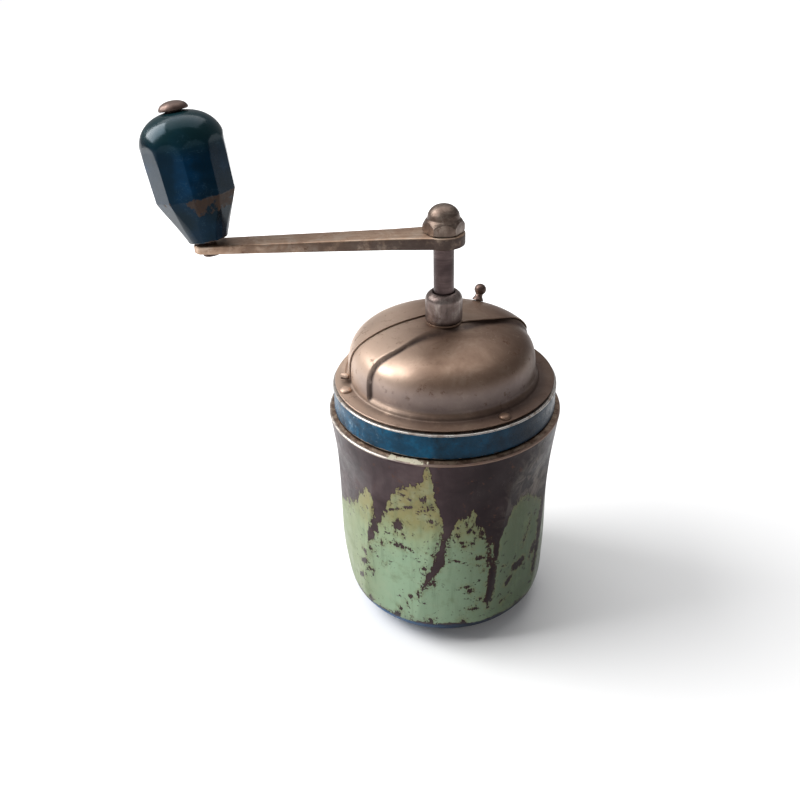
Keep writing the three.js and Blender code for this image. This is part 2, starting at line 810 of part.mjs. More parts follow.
/** Radius of the knob's round envelope at a height. */
function knobRows() {
  const { height, bottomRadius, beltRadius, beltHeight, crownRadius, crownHeight } = KNOB;
  const crown = [0, 20, 40, 58, 74].map((angle) => [
    crownRadius * Math.cos(rad(angle)) ** 0.9,
    crownHeight + (height - crownHeight) * Math.sin(rad(angle)),
  ]);
  return [
    [bottomRadius, 0],
    [beltRadius, beltHeight - 0.4],
    [beltRadius + 0.1, beltHeight + 0.4],
    [(beltRadius + crownRadius) / 2 + 0.2, (beltHeight + crownHeight) / 2],
    [crownRadius, crownHeight - 4],
    ...crown,
    [KNOB.boreRadius + 1, height - 0.1],
  ];
}

/** Flattens the side of the knob into facets that run out in arches below the crown. */
function facet(spot) {
  const pitch = 2 * Math.PI / KNOB.facets;
  const angle = Math.atan2(spot.y, spot.x);
  const across = angle - Math.round(angle / pitch) * pitch;
  const flat = Math.cos(pitch / 2) / Math.cos(across);
  const strength = 1 - smooth(KNOB.crownHeight - 3, KNOB.crownHeight + 2, spot.z);
  const radius = Math.hypot(spot.x, spot.y);
  if (radius < KNOB.boreRadius + 0.5) return;
  const scale = 1 + (flat - 1) * strength;
  spot.x *= scale;
  spot.y *= scale;
}

function crankKnob() {
  const rows = [
    [KNOB.boreRadius, 0],
    ...knobRows(),
    [KNOB.boreRadius, KNOB.height],
  ];
  const body = revolveMoved([...rows, rows[0]], KNOB.facets * 4, facet);
  return alongSpindle(body.rotateZ(rad(KNOB.turned)).translate(0, 0, KNOB.seat));
}

// ---------------------------------------------------------------- assembly

const cup = new THREE.Group();
cup.add(mesh('receiver_cup', receiverCup(), MATERIAL.cupPaint));

const mill = new THREE.Group();
mill.add(
  mesh('hopper_shell', hopperShell(), MATERIAL.bandPaint),
  mesh('hopper_funnel', hopperFunnel(), MATERIAL.tinPlate),
  mesh('hopper_dome', hopperDome(), MATERIAL.agedNickel),
  mesh('top_bushing', topBushing(), MATERIAL.steel),
  mesh('bushing_nut', bushingNut(), MATERIAL.steel),
  mesh('burr_ring', burrRing(), MATERIAL.castIron),
  mesh('bearing_bridge', bearingBridge(), MATERIAL.tinPlate),
  mesh('lower_bush', lowerBush(), MATERIAL.steel),
  mesh('adjuster_lock_nut', adjusterLockNut(), MATERIAL.steel),
);
RIVET.places.forEach((place, i) => {
  mill.add(mesh(`dome_rivet_${i + 1}`, domeRivet(place), MATERIAL.agedNickel));
});
BOLT_AZIMUTHS.forEach((azimuth, i) => {
  mill.add(
    mesh(`burr_screw_${i + 1}`, burrScrew(azimuth), MATERIAL.steel),
    mesh(`burr_nut_${i + 1}`, burrNut(azimuth), MATERIAL.steel),
  );
});

const shutter = new THREE.Group();
shutter.add(
  mesh('filler_shutter', fillerShutter(), MATERIAL.agedNickel),
  mesh('shutter_knob', shutterKnob(), MATERIAL.agedNickel),
);

const adjuster = new THREE.Group();
adjuster.add(
  mesh('thrust_washer', thrustWasher(), MATERIAL.steel),
  mesh('adjusting_screw', adjustingScrew(), MATERIAL.steel),
);

const crank = new THREE.Group();
crank.rotation.z = rad(ARM.azimuth);
crank.add(
  mesh('main_shaft', mainShaft(), MATERIAL.darkSteel),
  mesh('inner_burr', innerBurr(), MATERIAL.castIron),
  mesh('burr_pin', burrPin(), MATERIAL.steel),
  mesh('crank_arm', crankArm(), MATERIAL.steel),
  mesh('cap_nut', capNut(), MATERIAL.tinPlate),
  mesh('knob_spindle', knobSpindle(), MATERIAL.darkSteel),
  mesh('knob_washer', knobWasher(), MATERIAL.steel),
  mesh('crank_knob', crankKnob(), MATERIAL.knobLacquer),
);

const grinder = new THREE.Group();
grinder.add(cup, mill, shutter, adjuster, crank);

export default grinder;
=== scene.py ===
"""Looks of an old hand crank coffee grinder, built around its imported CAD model.

Shapes are in millimetres until mesh_piece() turns them into metres. Places inside the materials (g.x, g.y,
g.z), lights and the camera are in metres. A visual piece redraws its CAD node more finely, in the same place,
with driving sizes from the node's own box; the parts inside the mill are the CAD nodes themselves.
"""

import json
import math

import bmesh
import bpy
import numpy as np
from mathutils import Matrix, Vector


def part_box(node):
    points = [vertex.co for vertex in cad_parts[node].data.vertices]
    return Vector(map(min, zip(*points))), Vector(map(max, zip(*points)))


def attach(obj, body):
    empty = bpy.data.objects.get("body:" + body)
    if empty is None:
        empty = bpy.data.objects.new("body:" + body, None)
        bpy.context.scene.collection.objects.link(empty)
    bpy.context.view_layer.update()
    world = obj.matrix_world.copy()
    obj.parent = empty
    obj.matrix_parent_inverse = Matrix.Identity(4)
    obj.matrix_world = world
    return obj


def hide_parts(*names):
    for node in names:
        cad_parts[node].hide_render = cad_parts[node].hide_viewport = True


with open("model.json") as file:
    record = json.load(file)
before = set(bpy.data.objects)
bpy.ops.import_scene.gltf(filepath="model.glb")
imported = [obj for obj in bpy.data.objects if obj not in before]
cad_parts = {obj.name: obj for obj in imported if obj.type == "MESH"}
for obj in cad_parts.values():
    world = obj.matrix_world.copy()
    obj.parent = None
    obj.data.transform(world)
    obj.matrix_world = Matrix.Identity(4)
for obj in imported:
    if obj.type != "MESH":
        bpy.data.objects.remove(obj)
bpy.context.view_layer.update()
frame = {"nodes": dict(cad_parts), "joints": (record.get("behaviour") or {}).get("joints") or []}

MM = 0.001
TURN = 2 * math.pi


# ---------------------------------------------------------------- the frame's own sizes

class Box:
    """A CAD node's box in millimetres: lowest and highest corner, and its half width as a radius."""

    def __init__(self, node):
        low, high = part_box(node)
        self.low = np.array(low) / MM
        self.high = np.array(high) / MM
        self.bottom, self.top = self.low[2], self.high[2]
        self.radius = max(self.high[0] - self.low[0], self.high[1] - self.low[1]) / 2
        self.centre = (self.low + self.high) / 2


def joint(name):
    return next(j for j in frame["joints"] if j["name"] == name)


# ---------------------------------------------------------------- mesh helpers

def fillet(points, steps=5):
    """Rounds the corners of an outline: a point (x, y, radius) gets an arc of about that radius."""
    out = []
    count = len(points)
    for i, spec in enumerate(points):
        corner = np.array(spec[:2], float)
        if len(spec) < 3:
            out.append(tuple(corner))
            continue
        before = np.array(points[i - 1][:2], float) - corner
        after = np.array(points[(i + 1) % count][:2], float) - corner
        reach = min(spec[2], 0.45 * np.linalg.norm(before), 0.45 * np.linalg.norm(after))
        start = corner + before / np.linalg.norm(before) * reach
        end = corner + after / np.linalg.norm(after) * reach
        for t in np.linspace(0, 1, steps):
            out.append(tuple((1 - t) ** 2 * start + 2 * t * (1 - t) * corner + t * t * end))
    return out


def divide(rows, longest):
    """Adds points along an outline so that no step is longer than that."""
    out = [rows[0]]
    for a, b in zip(rows, rows[1:]):
        pieces = max(1, int(math.ceil(math.dist(a, b) / longest)))
        out += [(a[0] + (b[0] - a[0]) * k / pieces, a[1] + (b[1] - a[1]) * k / pieces)
                for k in range(1, pieces + 1)]
    return out


def quads(rows, columns, round_rows=False, round_columns=True):
    """Faces of a grid of points numbered row by row, closed on itself where asked."""
    at = lambda i, j: i % rows * columns + j % columns
    return [(at(i, j), at(i, j + 1), at(i + 1, j + 1), at(i + 1, j))
            for i in range(rows if round_rows else rows - 1)
            for j in range(columns if round_columns else columns - 1)]


def with_tips(rings, first, last):
    """A skin over rings of points (rings x columns x 3), drawn together to a point at each end."""
    count, columns = rings.shape[:2]
    points = np.concatenate([rings.reshape(-1, 3), [first], [last]])
    end = (count - 1) * columns
    faces = quads(count, columns)
    for j in range(columns):
        ahead = (j + 1) % columns
        faces += [(len(points) - 2, ahead, j), (len(points) - 1, end + j, end + ahead)]
    return points, faces


def spin(rows, columns=96, move=None):
    """Turns an outline of (radius, height) round Z. It starts and ends on the axis, or closes on itself.

    move(points) may shift the grid, an array of rows x columns x 3."""
    angles = np.arange(columns) * TURN / columns
    grid = turn_rows([row[:2] for row in rows], angles)
    if move:
        grid = move(grid)
    if rows[0][0] == 0:
        return with_tips(grid[1:-1], grid[0, 0], grid[-1, 0])
    return grid.reshape(-1, 3), quads(len(rows), columns, round_rows=True)


def turn_rows(rows, azimuths):
    """Rows of (radius, height) turned to azimuths in radians: one array for all rows, or one per row."""
    radii, heights = np.array(rows, float).T[:, :, None]
    azimuths = np.broadcast_to(azimuths, (len(rows), np.shape(azimuths)[-1]))
    return np.stack([radii * np.cos(azimuths), radii * np.sin(azimuths), heights + 0 * azimuths], axis=-1)


def closed_outline(rows, longest):
    """A closed outline with no step longer than that."""
    return divide([*rows, rows[0]], longest)[:-1]


def mesh_piece(name, part, body, nodes, material, crease=40, placed=None):
    """Makes a smooth-shaded object from (points, faces) in millimetres and ties it to the frame."""
    points, faces = part
    mesh = bpy.data.meshes.new(name)
    mesh.from_pydata((np.asarray(points) * MM).tolist(), [], faces)
    work = bmesh.new()
    work.from_mesh(mesh)
    bmesh.ops.remove_doubles(work, verts=work.verts, dist=1e-7)
    bmesh.ops.recalc_face_normals(work, faces=work.faces)
    work.to_mesh(mesh)
    work.free()
    if placed is not None:
        mesh.transform(placed)
    shade(mesh, crease)
    mesh.materials.append(material)
    piece = bpy.data.objects.new(name, mesh)
    bpy.context.scene.collection.objects.link(piece)
    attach(piece, body)
    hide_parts(*nodes)
    return piece


def shade(mesh, crease):
    mesh.shade_smooth()
    mesh.set_sharp_from_angle(angle=math.radians(crease))


def smooth(low, high, value):
    t = np.clip((np.asarray(value, float) - low) / (high - low), 0, 1)
    return t * t * (3 - 2 * t)


def rounded_polygon(phi, apothem, sides, sharpness=40.0, first=0.0):
    """Radius of a regular polygon with slightly rounded corners, at an angle."""
    total = np.zeros_like(phi)
    for k in range(sides):
        total += np.maximum(np.cos(phi - first - k * TURN / sides), 1e-3) ** sharpness
    return apothem / total ** (1 / sharpness)


def limit_radius(grid, limit):
    """Pulls a grid's points in to limit(phi, radius, z)."""
    x, y, z = grid[..., 0], grid[..., 1], grid[..., 2]
    radius = np.hypot(x, y)
    phi = np.arctan2(y, x)
    held = limit(phi, radius, z)
    return np.stack([held * np.cos(phi), held * np.sin(phi), z], axis=-1)


def curve(points, step=1.0):
    """A smooth line through points (Catmull-Rom), with a point about every step."""
    points = [np.array(p, float) for p in points]
    padded = [2 * points[0] - points[1], *points, 2 * points[-1] - points[-2]]
    out = []
    for a, b, c, d in zip(padded, padded[1:], padded[2:], padded[3:]):
        for t in np.arange(max(1, round(math.dist(b, c) / step))) / max(1, round(math.dist(b, c) / step)):
            out.append(0.5 * (2 * b + (c - a) * t + (2 * a - 5 * b + 4 * c - d) * t ** 2
                              + (3 * b - a - 3 * c + d) * t ** 3))
    return [tuple(p) for p in [*out, points[-1]]]


def extruded(outline, bottom, top, bend):
    """A flat plate over an outline. Its upper face follows top(x), whose slope changes at x = bend."""
    work = bmesh.new()
    low = [work.verts.new((x, y, bottom)) for x, y in outline]
    high = [work.verts.new((x, y, bottom + 1)) for x, y in outline]
    work.faces.new(low[::-1])
    work.faces.new(high)
    for i in range(len(outline)):
        j = (i + 1) % len(outline)
        work.faces.new((low[i], low[j], high[j], high[i]))
    everything = work.verts[:] + work.edges[:] + work.faces[:]
    bmesh.ops.bisect_plane(work, geom=everything, plane_co=(bend, 0, 0), plane_no=(1, 0, 0))
    work.verts.index_update()
    points = [(v.co.x, v.co.y, top(v.co.x) if v.co.z > bottom + 0.5 else bottom) for v in work.verts]
    faces = [tuple(v.index for v in face.verts) for face in work.faces]
    work.free()
    return np.array(points), faces


def bevel(piece, width, crease=40, steepest=35):
    """Softens a piece's sharp edges by a width in millimetres, in the mesh itself."""
    modifier = piece.modifiers.new("bevel", "BEVEL")
    modifier.width = width * MM
    modifier.segments = 4
    modifier.limit_method = "ANGLE"
    modifier.angle_limit = math.radians(steepest)
    result = bpy.data.meshes.new_from_object(piece.evaluated_get(bpy.context.evaluated_depsgraph_get()))
    piece.modifiers.clear()
    piece.data = result
    shade(result, crease)


# ---------------------------------------------------------------- material helpers

class Graph:
    """A material's node tree, with one short call for each kind of node."""

    def __init__(self, name):
        self.material = bpy.data.materials.new(name)
        self.material.use_nodes = True
        self.tree = self.material.node_tree
        self.tree.nodes.clear()
        self.shader = self.tree.nodes.new("ShaderNodeBsdfPrincipled")
        output = self.tree.nodes.new("ShaderNodeOutputMaterial")
        self.tree.links.new(self.shader.outputs[0], output.inputs[0])
        self.place = self.tree.nodes.new("ShaderNodeTexCoord").outputs["Object"]
        axes = self.tree.nodes.new("ShaderNodeSeparateXYZ")
        self.put(self.place, axes.inputs[0])
        self.x, self.y, self.z = axes.outputs

    def put(self, value, socket):
        if isinstance(value, bpy.types.NodeSocket):
            self.tree.links.new(value, socket)
        else:
            socket.default_value = value

    def math(self, operation, a, b=0.0):
        node = self.tree.nodes.new("ShaderNodeMath")
        node.operation = operation
        for value, socket in zip((a, b), node.inputs):
            self.put(value, socket)
        return node.outputs[0]

    def add(self, a, b):
        return self.math("ADD", a, b)

    def times(self, a, b):
        return self.math("MULTIPLY", a, b)

    def opposite(self, value):
        return self.math("SUBTRACT", 1.0, value)

    def spread(self, noise, reach):
        """Noise about its middle: from minus to plus half of reach."""
        return self.times(self.add(noise, -0.5), reach)

    def stretch(self, x, y, z):
        """The place, for noise of size 1 whose features are x, y and z millimetres long along each axis."""
        node = self.tree.nodes.new("ShaderNodeVectorMath")
        node.operation = "MULTIPLY"
        self.put(self.place, node.inputs[0])
        node.inputs[1].default_value = (1 / x, 1 / y, 1 / z)
        return node.outputs[0]

    def polar(self, width, length, radius=46):
        """Place on the cup's wall, for noise of size 1 whose streaks are width across and length high."""
        angle = self.math("ARCTAN2", self.y, self.x)
        around = radius * MM / width
        node = self.tree.nodes.new("ShaderNodeCombineXYZ")
        self.put(self.times(self.math("SINE", angle), around), node.inputs[0])
        self.put(self.times(self.math("COSINE", angle), around), node.inputs[1])
        self.put(self.times(self.z, 1 / length), node.inputs[2])
        return node.outputs[0]

    def noise(self, size, detail=4.0, roughness=0.55, distortion=0.0, at=None):
        """Cloudy noise, 0 to 1, whose features are about size millimetres."""
        node = self.tree.nodes.new("ShaderNodeTexNoise")
        self.put(at or self.place, node.inputs["Vector"])
        node.inputs["Scale"].default_value = 1 / (size * MM)
        node.inputs["Detail"].default_value = detail
        node.inputs["Roughness"].default_value = roughness
        node.inputs["Distortion"].default_value = distortion
        return node.outputs[0]

    def attribute(self, name):
        node = self.tree.nodes.new("ShaderNodeAttribute")
        node.attribute_name = name
        return node.outputs["Fac"]

    def step(self, value, low, high, start=0.0, end=1.0):
        """Smoothly maps low..high to start..end, held outside."""
        node = self.tree.nodes.new("ShaderNodeMapRange")
        node.interpolation_type = "SMOOTHSTEP"
        for given, socket in zip((value, low, high, start, end), node.inputs):
            self.put(given, socket)
        return node.outputs[0]

    def mix(self, factor, a, b):
        node = self.tree.nodes.new("ShaderNodeMix")
        node.data_type = "RGBA"
        self.put(factor, node.inputs[0])
        for value, socket in ((a, node.inputs[6]), (b, node.inputs[7])):
            self.put((*value, 1) if isinstance(value, tuple) else value, socket)
        return node.outputs[2]

    def ramp(self, value, *stops):
        node = self.tree.nodes.new("ShaderNodeValToRGB")
        self.put(value, node.inputs[0])
        elements = node.color_ramp.elements
        while len(elements) < len(stops):
            elements.new(0.5)
        for element, (position, colour) in zip(elements, stops):
            element.position = position
            element.color = (*colour, 1)
        return node.outputs[0]

    def bump(self, height, depth, strength):
        """Surface relief of depth millimetres."""
        node = self.tree.nodes.new("ShaderNodeBump")
        node.inputs["Strength"].default_value = strength
        node.inputs["Distance"].default_value = depth * MM
        self.put(height, node.inputs["Height"])
        return node.outputs[0]

    def finish(self, **inputs):
        """Sets the shader's inputs, named with underscores for spaces, and returns the material."""
        for name, value in inputs.items():
            socket = self.shader.inputs[name.replace("_", " ").title().replace("Ior", "IOR")]
            self.put((*value, 1) if isinstance(value, tuple) and len(value) == 3 else value, socket)
        return self.material


def srgb(red, green, blue):
    """A linear colour from the 0 to 255 values a screen shows."""
    return tuple((c / 12.92 if c <= 0.04045 else ((c + 0.055) / 1.055) ** 2.4)
                 for c in (red / 255, green / 255, blue / 255))


def scratches(g, at, width, reach):
    """Thin lines, 1 on a scratch: the seams of stretched noise bands."""
    wave = g.noise(1.0, 3, 0.5, 0.3, at)
    line = g.math("ABSOLUTE", g.add(wave, -0.5))
    where = g.step(g.noise(7, 2), 0.5, 0.62)
    return g.times(g.step(line, 0, width, reach, 0), where)


# ---------------------------------------------------------------- materials

def cup_material():
    """Green paint over dark sheet. The "paint" attribute is the distance inside the paint's edge, in mm."""
    g = Graph("worn_green_paint")
    clouds = g.spread(g.noise(6.0, 3), 5.0)
    high = g.step(g.z, 0.042, 0.062, 4.0, 8.5)
    flames = g.spread(g.noise(1.0, 5, 0.65, 0.6, g.polar(1.5, 5.0)), high)
    crumbs = g.spread(g.noise(1.1, 6, 0.7), 4.0)
    edge = g.add(g.add(g.attribute("paint"), clouds), g.add(flames, crumbs))
    spots = g.step(g.noise(2.3, 6, 0.7, 0.3), 0.585, 0.65)
    near = g.step(g.attribute("paint"), 1.5, 9, 1, 0.2)
    edge = g.add(edge, g.times(g.times(spots, near), -10))
    painted = g.step(edge, -0.1, 0.1)
    rim = g.times(g.step(edge, -1.2, -0.1), g.step(edge, 0.1, 0.0))

    height = g.step(g.add(g.z, g.spread(g.noise(12, 4), 0.03)), 0.04, 0.085)
    green = g.ramp(height, (0.0, srgb(134, 158, 130)), (0.35, srgb(136, 152, 118)),
                   (0.65, srgb(132, 129, 86)), (1.0, srgb(132, 122, 80)))
    green = g.mix(g.step(g.noise(5.5, 5, 0.6), 0.45, 0.75, 0, 0.45), green, srgb(146, 162, 134))
    # The paint darker and yellower on the left, partly its own tone and partly painted shade; much darker on
    # the right, painted shade.
    green = g.mix(g.step(g.x, -0.02, -0.04, 0, 0.6), green, srgb(112, 112, 74))
    green = g.mix(g.step(g.x, -0.008, 0.03, 0, 0.9), green, srgb(62, 72, 51))
    green = g.mix(g.step(g.noise(8, 6, 0.7), 0.5, 0.74, 0, 0.6), green, srgb(92, 104, 72))
    green = g.mix(g.step(g.noise(3.0, 6, 0.75), 0.62, 0.72, 0, 0.6), green, srgb(108, 88, 58))
    rubs = g.noise(1.0, 4, 0.6, 0, g.polar(3.0, 26))
    green = g.mix(g.step(rubs, 0.5, 0.72, 0, 0.35), green, srgb(88, 104, 80))
    near_edge = g.step(edge, 2.2, 0.1, 0, 0.5)
    green = g.mix(g.times(near_edge, g.step(g.noise(1.6, 5, 0.7), 0.4, 0.6)), green, srgb(104, 100, 62))

    metal = g.ramp(g.noise(14, 5, 0.55, 0.4), (0.3, srgb(50, 40, 42)), (0.5, srgb(66, 54, 56)),
                   (0.66, srgb(80, 67, 68)), (0.8, srgb(98, 84, 84)))
    streaks = g.noise(1.0, 4, 0.6, 0, g.polar(2.6, 30))
    metal = g.mix(g.step(streaks, 0.45, 0.7, 0, 0.15), metal, srgb(40, 30, 34))
    # Painted shade: the bare metal much darker on the right.
    metal = g.mix(g.step(g.x, -0.014, 0.016, 0, 0.8), metal, srgb(26, 20, 22))
    metal = g.mix(g.step(g.noise(3.2, 5, 0.7), 0.6, 0.7, 0, 0.5), metal, srgb(84, 54, 40))
    # Painted sheen: a pale glow on the bare metal above the paint, at the right front and at the back.
    haze = g.times(g.attribute("haze"), g.step(g.noise(7, 6, 0.68, 1.2), 0.42, 0.62))
    metal = g.mix(haze, metal, srgb(104, 96, 88))
    bare = g.mix(g.times(rim, 0.7), metal, srgb(50, 34, 26))

    foot_line = g.add(g.z, g.spread(g.noise(4, 5, 0.7), 0.003))
    foot = g.step(foot_line, 0.0112, 0.0107)
    chipped = g.step(g.noise(2.4, 5, 0.7), 0.6, 0.64)
    foot = g.times(foot, g.opposite(chipped))
    # The blue foot darkens towards the right: painted shade.
    blue = g.mix(g.step(g.x, -0.03, 0.012), srgb(4, 76, 122), srgb(8, 26, 44))
    ledge = g.mix(g.step(g.noise(3, 6, 0.7), 0.4, 0.62), srgb(142, 124, 108), srgb(96, 76, 64))
    chip = g.mix(g.noise(1.5, 5, 0.7), srgb(176, 172, 146), srgb(196, 190, 172))

    inside = g.attribute("inside")
    tin = g.mix(g.step(g.noise(8, 6, 0.65), 0.35, 0.7), srgb(112, 104, 92), srgb(150, 144, 132))
    colour = g.mix(painted, bare, green)
    colour = g.mix(foot, colour, blue)
    colour = g.mix(g.attribute("ledge"), colour, g.mix(painted, ledge, chip))
    # The bare rim edge: dull brown, with a painted highlight on the left where light falls.
    lit = g.step(g.x, 0.0, -0.03, 0.12, 1)
    edge_bare = g.times(g.attribute("rim"), g.opposite(g.times(painted, g.attribute("ledge"))))
    painted_rim_highlight = g.times(lit, g.step(g.noise(5, 5, 0.65), 0.35, 0.55, 0.4, 1))
    colour = g.mix(edge_bare, colour, g.mix(painted_rim_highlight, srgb(112, 88, 76), srgb(190, 182, 174)))
    colour = g.mix(inside, colour, tin)

    coat = g.times(g.math("MAXIMUM", painted, foot), g.opposite(inside))
    grain = g.noise(0.5, 5, 0.7)
    relief = g.add(g.times(coat, 0.8), g.times(grain, 0.12))
    lines = scratches(g, g.stretch(1.6, 1.6, 14), 0.012, 1.0)
    relief = g.add(relief, g.times(lines, -0.25))
    rough = g.mix(coat, g.ramp(g.noise(5, 5, 0.7), (0.3, (0.3,) * 3), (0.7, (0.5,) * 3)),
                  g.ramp(g.noise(7, 4), (0.3, (0.3,) * 3), (0.7, (0.46,) * 3)))
    metallic = g.math("SUBTRACT", 0.8, g.times(coat, 0.8))
    return g.finish(base_color=colour, roughness=rough, metallic=metallic, specular_ior_level=0.16,
                    normal=g.bump(relief, 0.12, 0.7))


def band_material():
    """Deep blue paint, worn bright where "edge" is set, pale scuffs at the left, a dull skirt below."""
    g = Graph("scuffed_blue_paint")
    wear = g.add(g.attribute("edge"), g.spread(g.noise(2.4, 6, 0.68), 1.1))
    bare = g.step(g.add(wear, g.step(g.x, -0.012, -0.038, 0, 0.1)), 0.62, 0.7)
    blue = g.ramp(g.noise(7, 4, 0.6), (0.3, srgb(0, 34, 50)), (0.55, srgb(0, 58, 84)),
                  (0.75, srgb(0, 84, 116)))
    blue = g.mix(g.step(g.noise(3, 6, 0.7), 0.54, 0.7, 0, 0.75), blue, srgb(14, 24, 36))
    pale = g.times(g.step(g.noise(2.2, 6, 0.72), 0.54, 0.68), g.step(g.x, -0.012, -0.04, 0.06, 0.7))
    blue = g.mix(pale, blue, srgb(116, 142, 160))
    # Painted shade: the blue darker on the right.
    blue = g.mix(g.step(g.x, -0.005, 0.034, 0, 0.8), blue, srgb(8, 18, 30))
    metal = g.mix(g.step(g.noise(3, 5, 0.6), 0.45, 0.65), srgb(176, 171, 166), srgb(138, 126, 117))
    skirt = g.ramp(g.noise(6, 5, 0.65), (0.35, srgb(92, 84, 76)), (0.65, srgb(124, 116, 106)))
    metal = g.mix(g.step(g.z, 0.0985, 0.0975), metal, skirt)
    colour = g.mix(bare, blue, metal)
    relief = g.add(g.times(g.opposite(bare), 0.8), g.times(g.noise(0.6, 4, 0.7), 0.15))
    rough = g.add(g.step(g.noise(3, 5, 0.7), 0.3, 0.7, 0.2, 0.42), g.times(bare, 0.06))
    return g.finish(base_color=colour, roughness=rough, metallic=g.times(bare, 0.85),
                    specular_ior_level=0.12, normal=g.bump(relief, 0.1, 0.6))


def metal_material(name, dark, middle, light, stain, rough, grain, patch=9.0, brushed=None,
                   stains=0.6, depth=0.05, metallic=0.9, sides=None):
    """Old metal: three tones in clouds, stains, fine scratches, uneven gloss, and painted shade from a vertex
    attribute.

    brushed is the length of its grain along each axis. sides are tones for the left, the right and the low
    front of the dome: paler on the left where light falls, darker and browner on the right in shade, greyer
    low in front; partly the metal's own tones, partly painted light and shade."""
    g = Graph(name)
    cloud = g.noise(patch, 6, 0.62, 0.5)
    colour = g.ramp(cloud, (0.3, dark), (0.5, middle), (0.72, light))
    if brushed:
        lines = g.noise(1.0, 5, 0.65, 0, g.stretch(*brushed))
        colour = g.mix(g.step(lines, 0.35, 0.7, 0, 0.55), colour, dark)
    else:
        lines = g.noise(0.7, 4, 0.6)
    if sides:
        # Painted light: paler on the left where light falls, darker and browner on the right in shade, greyer
        # low in front; partly the metal's own tones.
        colour = g.mix(g.step(g.x, -0.002, -0.028, 0, 0.8), colour, sides[0])
        colour = g.mix(g.step(g.x, 0.008, 0.034, 0, 0.65), colour, sides[1])
        low = g.times(g.step(g.z, 0.1115, 0.113), g.step(g.z, 0.124, 0.117, 0, 0.6))
        colour = g.mix(g.times(low, g.step(g.y, -0.012, -0.024)), colour, sides[2])
    spots = g.times(g.step(g.noise(patch / 4, 6, 0.72), 0.55, 0.7),
                    g.step(g.noise(patch * 1.4, 3), 0.4, 0.6))
    colour = g.mix(g.times(spots, stains), colour, stain)
    scored = scratches(g, g.stretch(4, 9, 2.2), 0.01, 1.0)
    colour = g.mix(g.times(scored, 0.4), colour, light)
    # Painted shade: darker, rougher and less metallic in creases, under edges and on faces turned from the
    # light.
    dirt = g.times(g.attribute("dirt"), g.step(g.noise(5, 5, 0.65), 0.25, 0.5, 0.55, 1))
    colour = g.mix(dirt, colour, srgb(46, 28, 21))
    uneven = g.add(g.step(cloud, 0.3, 0.75, rough + 0.1, rough - 0.05), g.times(g.add(spots, dirt), 0.18))
    relief = g.add(g.times(g.noise(grain, 5, 0.7), 0.5), g.times(lines, 0.25))
    relief = g.add(relief, g.times(scored, -0.5))
    solid = g.math("SUBTRACT", metallic, g.times(dirt, 0.5))
    return g.finish(base_color=colour, roughness=uneven, metallic=solid, normal=g.bump(relief, depth, 0.6))


def knob_material():
    """Dark blue lacquer on turned wood; the "edge" attribute marks the worn corners."""
    g = Graph("dark_blue_lacquer")
    depth = g.noise(14, 2, 0.5)
    lacquer = g.ramp(depth, (0.3, srgb(0, 14, 24)), (0.5, srgb(0, 22, 38)), (0.7, srgb(0, 44, 76)))
    lacquer = g.mix(g.step(g.z, 0.188, 0.182, 0, 0.7), lacquer, srgb(4, 16, 22))
    crown = g.step(g.add(g.z, g.times(depth, 0.012)), 0.208, 0.216, 0, 0.8)
    lacquer = g.mix(crown, lacquer, srgb(14, 36, 38))
    lacquer = g.mix(g.step(g.noise(1.6, 6, 0.75), 0.64, 0.74, 0, 0.15), lacquer, srgb(30, 62, 78))
    wear = g.add(g.attribute("edge"), g.spread(g.noise(3.6, 6, 0.62), 2.2))
    worn = g.step(wear, 0.72, 0.98)
    wood = g.mix(g.noise(1.0, 4, 0.6, 0, g.stretch(1.2, 1.2, 16)), srgb(32, 24, 20), srgb(70, 50, 36))
    colour = g.mix(worn, lacquer, wood)
    lines = scratches(g, g.stretch(3, 3, 1.6), 0.012, 1.0)
    colour = g.mix(g.times(lines, 0.16), colour, srgb(86, 116, 132))
    rough = g.add(g.step(g.noise(4, 5, 0.7), 0.35, 0.7, 0.14, 0.26), g.times(worn, 0.35))
    relief = g.add(g.times(g.opposite(worn), 0.6), g.add(g.times(g.noise(3, 3), 0.5), g.times(lines, -0.2)))
    return g.finish(base_color=colour, roughness=rough, specular_ior_level=0.5, ior=1.35,
                    specular_tint=(0.2, 0.34, 0.44, 1), normal=g.bump(relief, 0.08, 0.5))


def floor_material():
    """Plain pale floor; it glows a little far from the object, where the lamps do not reach."""
    g = Graph("pale_floor")
    tone = g.mix(g.noise(300, 3), srgb(226, 226, 226), srgb(232, 232, 232))
    away = g.math("SQRT", g.add(g.times(g.x, g.x), g.times(g.y, g.y)))
    glow = g.step(away, 0.1, 0.7, 0.04, 0.8)
    return g.finish(base_color=tone, roughness=0.8, specular_ior_level=0.1,
                    emission_color=(1, 1, 1, 1), emission_strength=glow)


CUP_PAINT = cup_material()
BAND_PAINT = band_material()
NICKEL = metal_material("aged_nickel", srgb(98, 77, 64), srgb(119, 97, 82), srgb(143, 123, 107),
                        srgb(80, 52, 38), 0.42, 0.5, patch=15, stains=0.7, metallic=0.75,
                        sides=(srgb(196, 172, 154), srgb(80, 60, 48), srgb(146, 133, 130)))
STEEL = metal_material("worn_steel", srgb(84, 72, 64), srgb(128, 114, 102), srgb(172, 160, 148),
                       srgb(88, 62, 44), 0.34, 0.5, patch=9)
ARM_STEEL = metal_material("arm_steel", srgb(118, 94, 78), srgb(160, 133, 112), srgb(196, 178, 160),
                           srgb(88, 52, 36), 0.38, 0.6, patch=11, brushed=(16, 1.2, 1.2), stains=0.9,
                           depth=0.07, metallic=0.8)
BUSHING_STEEL = metal_material("collar_steel", srgb(80, 68, 65), srgb(118, 104, 99), srgb(160, 150, 144),
                               srgb(78, 54, 44), 0.34, 0.4, patch=7, brushed=(1.4, 1.4, 18),
                               stains=0.8, metallic=0.85)
